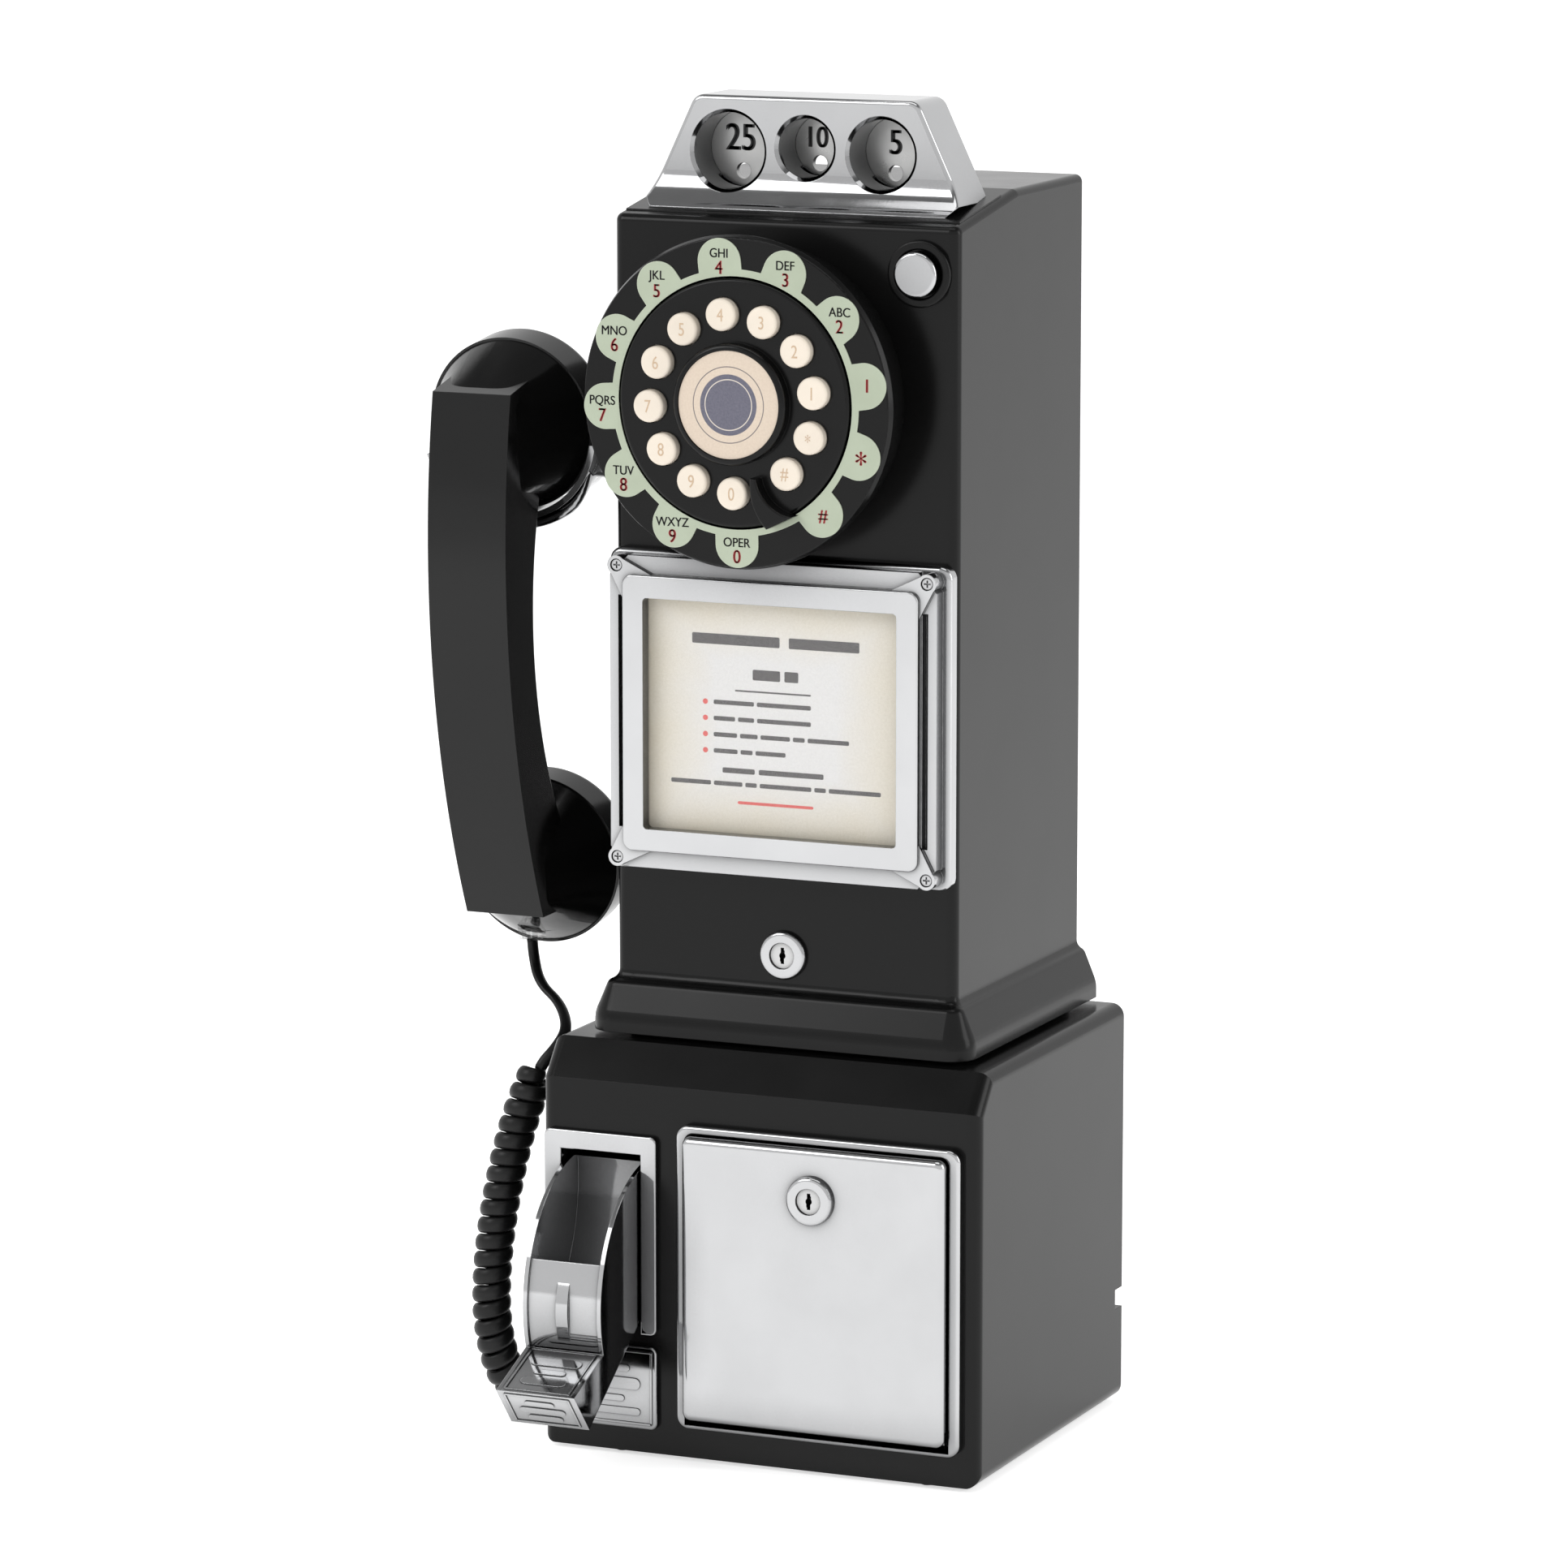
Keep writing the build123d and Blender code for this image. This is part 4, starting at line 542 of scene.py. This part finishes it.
# ------------------------------------------------------------ print and text
def text_mesh(name, text, size, centre, thickness, width):
    """Raised characters that face the front, centred on a point in metres."""
    font = bpy.data.curves.new(name, "FONT")
    font.body = text
    font.size = size
    font.align_x = "CENTER"
    font.align_y = "CENTER"
    font.extrude = thickness / 2
    mesh = mesh_of(font)
    xs = [v.co.x for v in mesh.vertices]
    ys = [v.co.y for v in mesh.vertices]
    mesh.transform(Matrix.Translation((-(min(xs) + max(xs)) / 2, -(min(ys) + max(ys)) / 2, 0)))
    mesh.transform(Matrix.Diagonal((width, 1, 1, 1)))
    mesh.transform(Matrix.Rotation(math.radians(90), 4, "X"))
    mesh.transform(Matrix.Translation(centre))
    return mesh


def struck(text, size, centre, thickness, spread, width):
    """Bold characters: two strikes of the same text, a little apart."""
    places = (centre + Vector((shift, 0, 0)) for shift in (-spread, spread))
    return [text_mesh("strike", text, size, place, thickness, width) for place in places]


def join_meshes(name, meshes):
    """One mesh of several."""
    build = bmesh.new()
    for mesh in meshes:
        build.from_mesh(mesh)
    joined = bpy.data.meshes.new(name)
    build.to_mesh(joined)
    build.free()
    return joined


SIDE_SLOPE = 0.25
SUNK = 0.00005


def relief(name, origin, across, upward, outlines, height):
    """Raised shapes with sloping sides on a flat face. Outlines are in millimetres on it."""
    normal = across.cross(upward).normalized()
    build = bmesh.new()
    for outline in outlines:
        cx = sum(p[0] for p in outline) / len(outline)
        cy = sum(p[1] for p in outline) / len(outline)
        low = []
        high = []
        for u, v in outline:
            foot = origin + across * u * MM + upward * v * MM - normal * SUNK
            low.append(build.verts.new(foot))
            far = math.hypot(u - cx, v - cy)
            inset = min(0.5, SIDE_SLOPE * height / MM / far) if far else 0
            iu = u + (cx - u) * inset
            iv = v + (cy - v) * inset
            crest = origin + across * iu * MM + upward * iv * MM + normal * height
            high.append(build.verts.new(crest))
        count = len(outline)
        for k in range(count):
            nxt = (k + 1) % count
            build.faces.new((low[k], low[nxt], high[nxt], high[k]))
        build.faces.new(high)
        build.faces.new(list(reversed(low)))
    bmesh.ops.recalc_face_normals(build, faces=build.faces)
    mesh = bpy.data.meshes.new(name)
    build.to_mesh(mesh)
    build.free()
    return mesh


def bar(u, v, width, height, corner=None):
    """Rounded bar centred on u, v, in millimetres."""
    r = min(width, height) / 2 if corner is None else corner
    points = []
    for sx, sy, first in ((1, 1, 0), (-1, 1, 90), (-1, -1, 180), (1, -1, 270)):
        for step in range(5):
            angle = math.radians(first + 22.5 * step)
            points.append((
                u + sx * (width / 2 - r) + r * math.cos(angle),
                v + sy * (height / 2 - r) + r * math.sin(angle),
            ))
    return points


def border(width, height, line):
    """Four bars that frame a rectangle."""
    return [
        bar(0, (height - line) / 2, width, line),
        bar(0, -(height - line) / 2, width, line),
        bar((width - line) / 2, 0, line, height),
        bar(-(width - line) / 2, 0, line, height),
    ]


RIGHT = Vector((1, 0, 0))
UP = Vector((0, 0, 1))

# dial lettering on the lobes of the number ring, and a legend on each key
PRINT_THICK = 0.00012
KEY_PRINT_THICK = 0.00016
KEY_PRINT_PROUD = 0.00002
KEY_PRINT_SIZE = 0.0062
KEY_PRINT_WIDTH = 0.8
LOBE_R = 0.0487
WORD_SIZE = 0.0044
WORD_SPREAD = 0.00007
WORD_WIDTH = 0.92
WORD_RISE = Vector((0, 0, 0.0018))
DIGIT_SIZE = 0.0064
STAR_SIZE = 0.0105
DIGIT_SPREAD = 0.00014
DIGIT_WIDTH = 0.9
DIGIT_DROP = Vector((0, 0, -0.0030))
ring_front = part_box("number_ring")[0].y
label_low, label_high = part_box("center_label")
dial = (label_low + label_high) / 2
MARKS = [
    ("key_0", "0", "OPER"),
    ("key_9", "9", "WXYZ"),
    ("key_8", "8", "TUV"),
    ("key_7", "7", "PQRS"),
    ("key_6", "6", "MNO"),
    ("key_5", "5", "JKL"),
    ("key_4", "4", "GHI"),
    ("key_3", "3", "DEF"),
    ("key_2", "2", "ABC"),
    ("key_1", "1", ""),
    ("key_star", "*", ""),
    ("key_hash", "#", ""),
]
letters = []
digits = []
for node, digit, word in MARKS:
    key_low, key_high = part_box(node)
    key_centre = (key_low + key_high) / 2
    angle = math.atan2(key_centre.z - dial.z, key_centre.x - dial.x)
    spot = Vector((
        dial.x + LOBE_R * math.cos(angle),
        ring_front,
        dial.z + LOBE_R * math.sin(angle),
    ))
    digit_spot = spot + DIGIT_DROP if word else spot
    digit_size = STAR_SIZE if digit == "*" else DIGIT_SIZE
    digits += struck(digit, digit_size, digit_spot, PRINT_THICK, DIGIT_SPREAD, DIGIT_WIDTH)
    if word:
        letters += struck(word, WORD_SIZE, spot + WORD_RISE, PRINT_THICK, WORD_SPREAD, WORD_WIDTH)
    face = Vector((key_centre.x, key_low.y + KEY_PRINT_PROUD, key_centre.z))
    legend = f"legend_{node}"
    mark = text_mesh(legend, digit, KEY_PRINT_SIZE, face, KEY_PRINT_THICK, KEY_PRINT_WIDTH)
    add_piece(legend, mark, KEY_MARK, node)
add_piece("ring_letters", join_meshes("ring_letters", letters), INK_BLACK, "root")
add_piece("ring_digits", join_meshes("ring_digits", digits), INK_RED, "root")

# numerals on the three coin gauges: text, then the aperture's x, z and bore in millimetres
GAUGES = [("25", -28.3, 447.2, 26.0), ("10", 0.0, 448.9, 20.2), ("5", 27.7, 447.6, 23.8)]
NUMERAL_THICK = 0.00016
NUMERAL_WIDTH = 0.88
# shares of the bore
NUMERAL_SIZE = 0.5
NUMERAL_RISE = 0.13
NUMERAL_LEFT = 0.04
# share of the numeral's size
NUMERAL_SPREAD = 0.028
gauge_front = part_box("gauge_plates")[0].y
numerals = []
for text, x, z, bore in GAUGES:
    size = bore * NUMERAL_SIZE * MM
    left = NUMERAL_LEFT * bore * len(text)
    spot = Vector(((x - left) * MM, gauge_front, (z + bore * NUMERAL_RISE) * MM))
    numerals += struck(text, size, spot, NUMERAL_THICK, size * NUMERAL_SPREAD, NUMERAL_WIDTH)
numeral_mesh = join_meshes("gauge_numerals", numerals)
add_piece("gauge_numerals", numeral_mesh, INK_GAUGE, "root")

# printed lines on the instruction card, as plain bars
WINDOW_LOW = Vector((-0.0466, 0, 0.21785))
WINDOW_HIGH = Vector((0.0466, 0, 0.29745))
PRINTED = 0.00006
card_w = (WINDOW_HIGH.x - WINDOW_LOW.x) / MM
card_h = (WINDOW_HIGH.z - WINDOW_LOW.z) / MM
card_corner = Vector((WINDOW_LOW.x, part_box("card")[0].y, WINDOW_HIGH.z))


def words(left, right_edge, top, height, lengths, gap=1.1):
    """Bars for the words of one line, between two shares of the card's width."""
    total = (right_edge - left) * card_w - gap * (len(lengths) - 1)
    start = left * card_w
    line_bars = []
    for length in lengths:
        width = total * length / sum(lengths)
        middle_v = -(top * card_h + height / 2)
        corner = min(0.45, height / 3)
        line_bars.append(bar(start + width / 2, middle_v, width, height, corner))
        start += width + gap
    return line_bars


heading = words(0.17, 0.83, 0.145, 3.6, [5, 4], gap=3.4)
heading += words(0.41, 0.59, 0.29, 3.6, [2, 1], gap=1.6)
heading += [bar(0.49 * card_w, -0.385 * card_h, 0.3 * card_w, 0.55)]
body_lines = []
bullets = []
for top, end, lengths in (
    (0.43, 0.64, [6, 8]),
    (0.5, 0.64, [4, 3, 10]),
    (0.57, 0.79, [4, 3, 5, 2, 7]),
    (0.64, 0.54, [4, 2, 5]),
):
    body_lines += words(0.255, end, top, 1.5, lengths)
    bullets.append(bar(0.222 * card_w, -(top * card_h + 0.75), 1.9, 1.9))
body_lines += words(0.29, 0.69, 0.72, 1.8, [4, 8], gap=1.5)
body_lines += words(0.085, 0.915, 0.78, 1.5, [7, 5, 2, 9, 2, 9])
bullets.append(bar(0.5 * card_w, -0.868 * card_h, 0.3 * card_w, 1.0))
for name, outlines, tint in (
    ("card_heading", heading, INK_GREY),
    ("card_lines", body_lines, INK_GREY),
    ("card_bullets", bullets, INK_BULLET),
):
    printed = relief(name, card_corner, RIGHT, UP, outlines, PRINTED)
    add_piece(name, printed, tint, "root")

# raised rim and bars on the return plate
EMBOSSED = 0.00035
PLATE_MARGIN = 3.4
plate_low, plate_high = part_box("return_plate")
plate_mid = (plate_low + plate_high) / 2
plate_mid.y = plate_low.y
plate_w = (plate_high.x - plate_low.x) / MM
plate_h = (plate_high.z - plate_low.z) / MM
shapes = border(plate_w - PLATE_MARGIN, plate_h - PLATE_MARGIN, 0.7)
for v, w, h in ((6.6, 22, 2.6), (1.2, 30, 4.2), (-4.2, 18, 2.2), (-8.6, 30, 2.6)):
    shapes.append(bar(0, v, w, h))
plate_marks = relief("return_plate_relief", plate_mid, RIGHT, UP, shapes, EMBOSSED)
add_piece("return_plate_relief", plate_marks, MATERIALS["chrome"], "root")

# raised marks on the two faces of the pull tab
TAB_ROOT = Vector((0, -0.16701, 0.04336))
TAB_TIP = Vector((0, -0.192, 0.0338))
TAB_FOOT = Vector((0, -0.180, 0.020))
TAB_RIM_WIDTH = 24.4
TAB_MARGIN = 2.4
bucket_low, bucket_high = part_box("coin_bucket")
tab_mid_x = (bucket_low.x + bucket_high.x) / 2
tab_meshes = []
for start, end, rows in (
    (TAB_TIP, TAB_ROOT, [(5.2, 19, 4.4), (-0.6, 12, 2.6), (-6.0, 17, 4.4)]),
    (TAB_FOOT, TAB_TIP, [(3.6, 11, 2.4), (-0.4, 17, 2.8), (-4.6, 13, 2.6)]),
):
    upward = (end - start).normalized()
    centre = (start + end) / 2
    centre.x = tab_mid_x
    length = (end - start).length / MM
    shapes = [bar(0, v, w, h) for v, w, h in rows]
    shapes += border(TAB_RIM_WIDTH, length - TAB_MARGIN, 0.6)
    tab_meshes.append(relief("tab", centre, RIGHT, upward, shapes, EMBOSSED))
tab_marks = join_meshes("bucket_relief", tab_meshes)
add_piece("bucket_relief", tab_marks, MATERIALS["chrome"], "coin_bucket")

# flared lip round the outer rim of the hook's cup
TILT = math.radians(7.5)
along_handle = Vector((0, -math.sin(TILT), math.cos(TILT)))
to_wall = Vector((0, math.cos(TILT), math.sin(TILT)))
ear_centre = Vector((-0.1125, -0.080, 0.351))
CUP_OUTER = 0.0336
LIP_LAP = 0.0003
LIP_START = -152
LIP_SWEEP = 130
LIP_STEPS = 28
LIP_FADE_STEPS = 7
# the lip's section: how far it stands out from the cup, and how deep it lies towards the wall
PROFILE = [
    (0.0, -0.0128),
    (0.0016, -0.0140),
    (0.0036, -0.0136),
    (0.0042, -0.0118),
    (0.0030, -0.0080),
    (0.0012, -0.0030),
    (0.0, 0.0040),
]
lip_mesh = bpy.data.meshes.new("hook_lip")
build = bmesh.new()
rows = []
for k in range(LIP_STEPS + 1):
    angle = math.radians(LIP_START + LIP_SWEEP * k / LIP_STEPS)
    swell = ease(k / LIP_FADE_STEPS) * ease((LIP_STEPS - k) / LIP_FADE_STEPS)
    radial = Vector((math.cos(angle), 0, 0)) + along_handle * math.sin(angle)
    row = []
    for out, deep in PROFILE:
        place = ear_centre + radial * (CUP_OUTER - LIP_LAP + out * swell) + to_wall * deep
        row.append(build.verts.new(place))
    rows.append(row)
for row, following in zip(rows, rows[1:]):
    for a, b in zip(range(len(PROFILE)), list(range(1, len(PROFILE))) + [0]):
        build.faces.new((row[a], row[b], following[b], following[a]))
build.faces.new(rows[0])
build.faces.new(list(reversed(rows[-1])))
bmesh.ops.recalc_face_normals(build, faces=build.faces)
build.to_mesh(lip_mesh)
build.free()
add_piece("hook_lip", lip_mesh, MATERIALS["chrome"], "hook", smooth=True)

# -------------------------------------------------------------------- stage
floor_mesh = bpy.data.meshes.new("floor")
build = bmesh.new()
bmesh.ops.create_grid(build, x_segments=8, y_segments=8, size=20)
build.to_mesh(floor_mesh)
build.free()
floor = bpy.data.objects.new("floor", floor_mesh)
bpy.context.scene.collection.objects.link(floor)
floor_finish = Surface("floor")
floor_tone = floor_finish.mix(floor_finish.noise(0.6), grey(0.9), grey(0.94))
floor_finish.link(floor_tone, "Base Color")
floor_finish.set(
    Roughness=0.8,
    Specular_IOR_Level=0.1,
    Emission_Color=(1, 1, 1, 1),
    Emission_Strength=0.62,
)
floor_mesh.materials.append(floor_finish.material)

# white studio that darkens overhead
world = bpy.data.worlds.new("studio")
bpy.context.scene.world = world
world.use_nodes = True
sky = world.node_tree
background = sky.nodes["Background"]
where = sky.nodes.new("ShaderNodeTexCoord")
parts = sky.nodes.new("ShaderNodeSeparateXYZ")
sky.links.new(where.outputs["Generated"], parts.inputs[0])
ramp = sky.nodes.new("ShaderNodeValToRGB")
stops = ramp.color_ramp.elements
stops[0].color = (*grey(1), 1)
stops[1].color = (*grey(0.22), 1)
for position, tone in ((0.62, 0.95), (0.8, 0.3)):
    stops.new(position).color = (*grey(tone), 1)
sky.links.new(parts.outputs["Z"], ramp.inputs["Fac"])
sky.links.new(ramp.outputs["Color"], background.inputs["Color"])
background.inputs["Strength"].default_value = 1.0


def area_light(name, place, target, size, power):
    """Rectangular lamp at place that faces target, with its power in watts."""
    data = bpy.data.lights.new(name, "AREA")
    data.shape = "RECTANGLE"
    data.size, data.size_y = size
    data.energy = power
    lamp = bpy.data.objects.new(name, data)
    lamp.location = place
    lamp.rotation_euler = (Vector(target) - Vector(place)).to_track_quat("-Z", "Y").to_euler()
    bpy.context.scene.collection.objects.link(lamp)


area_light("key_light", (-1.3, -1.6, 1.7), (0, -0.1, 0.25), (1.2, 1.2), 16)
area_light("side_light", (2.0, 0.2, 0.9), (0, -0.1, 0.2), (0.8, 1.4), 9)
area_light("top_light", (0.0, -0.4, 2.4), (0, -0.1, 0.2), (1.6, 0.9), 8)
bpy.context.scene.view_settings.view_transform = "Standard"
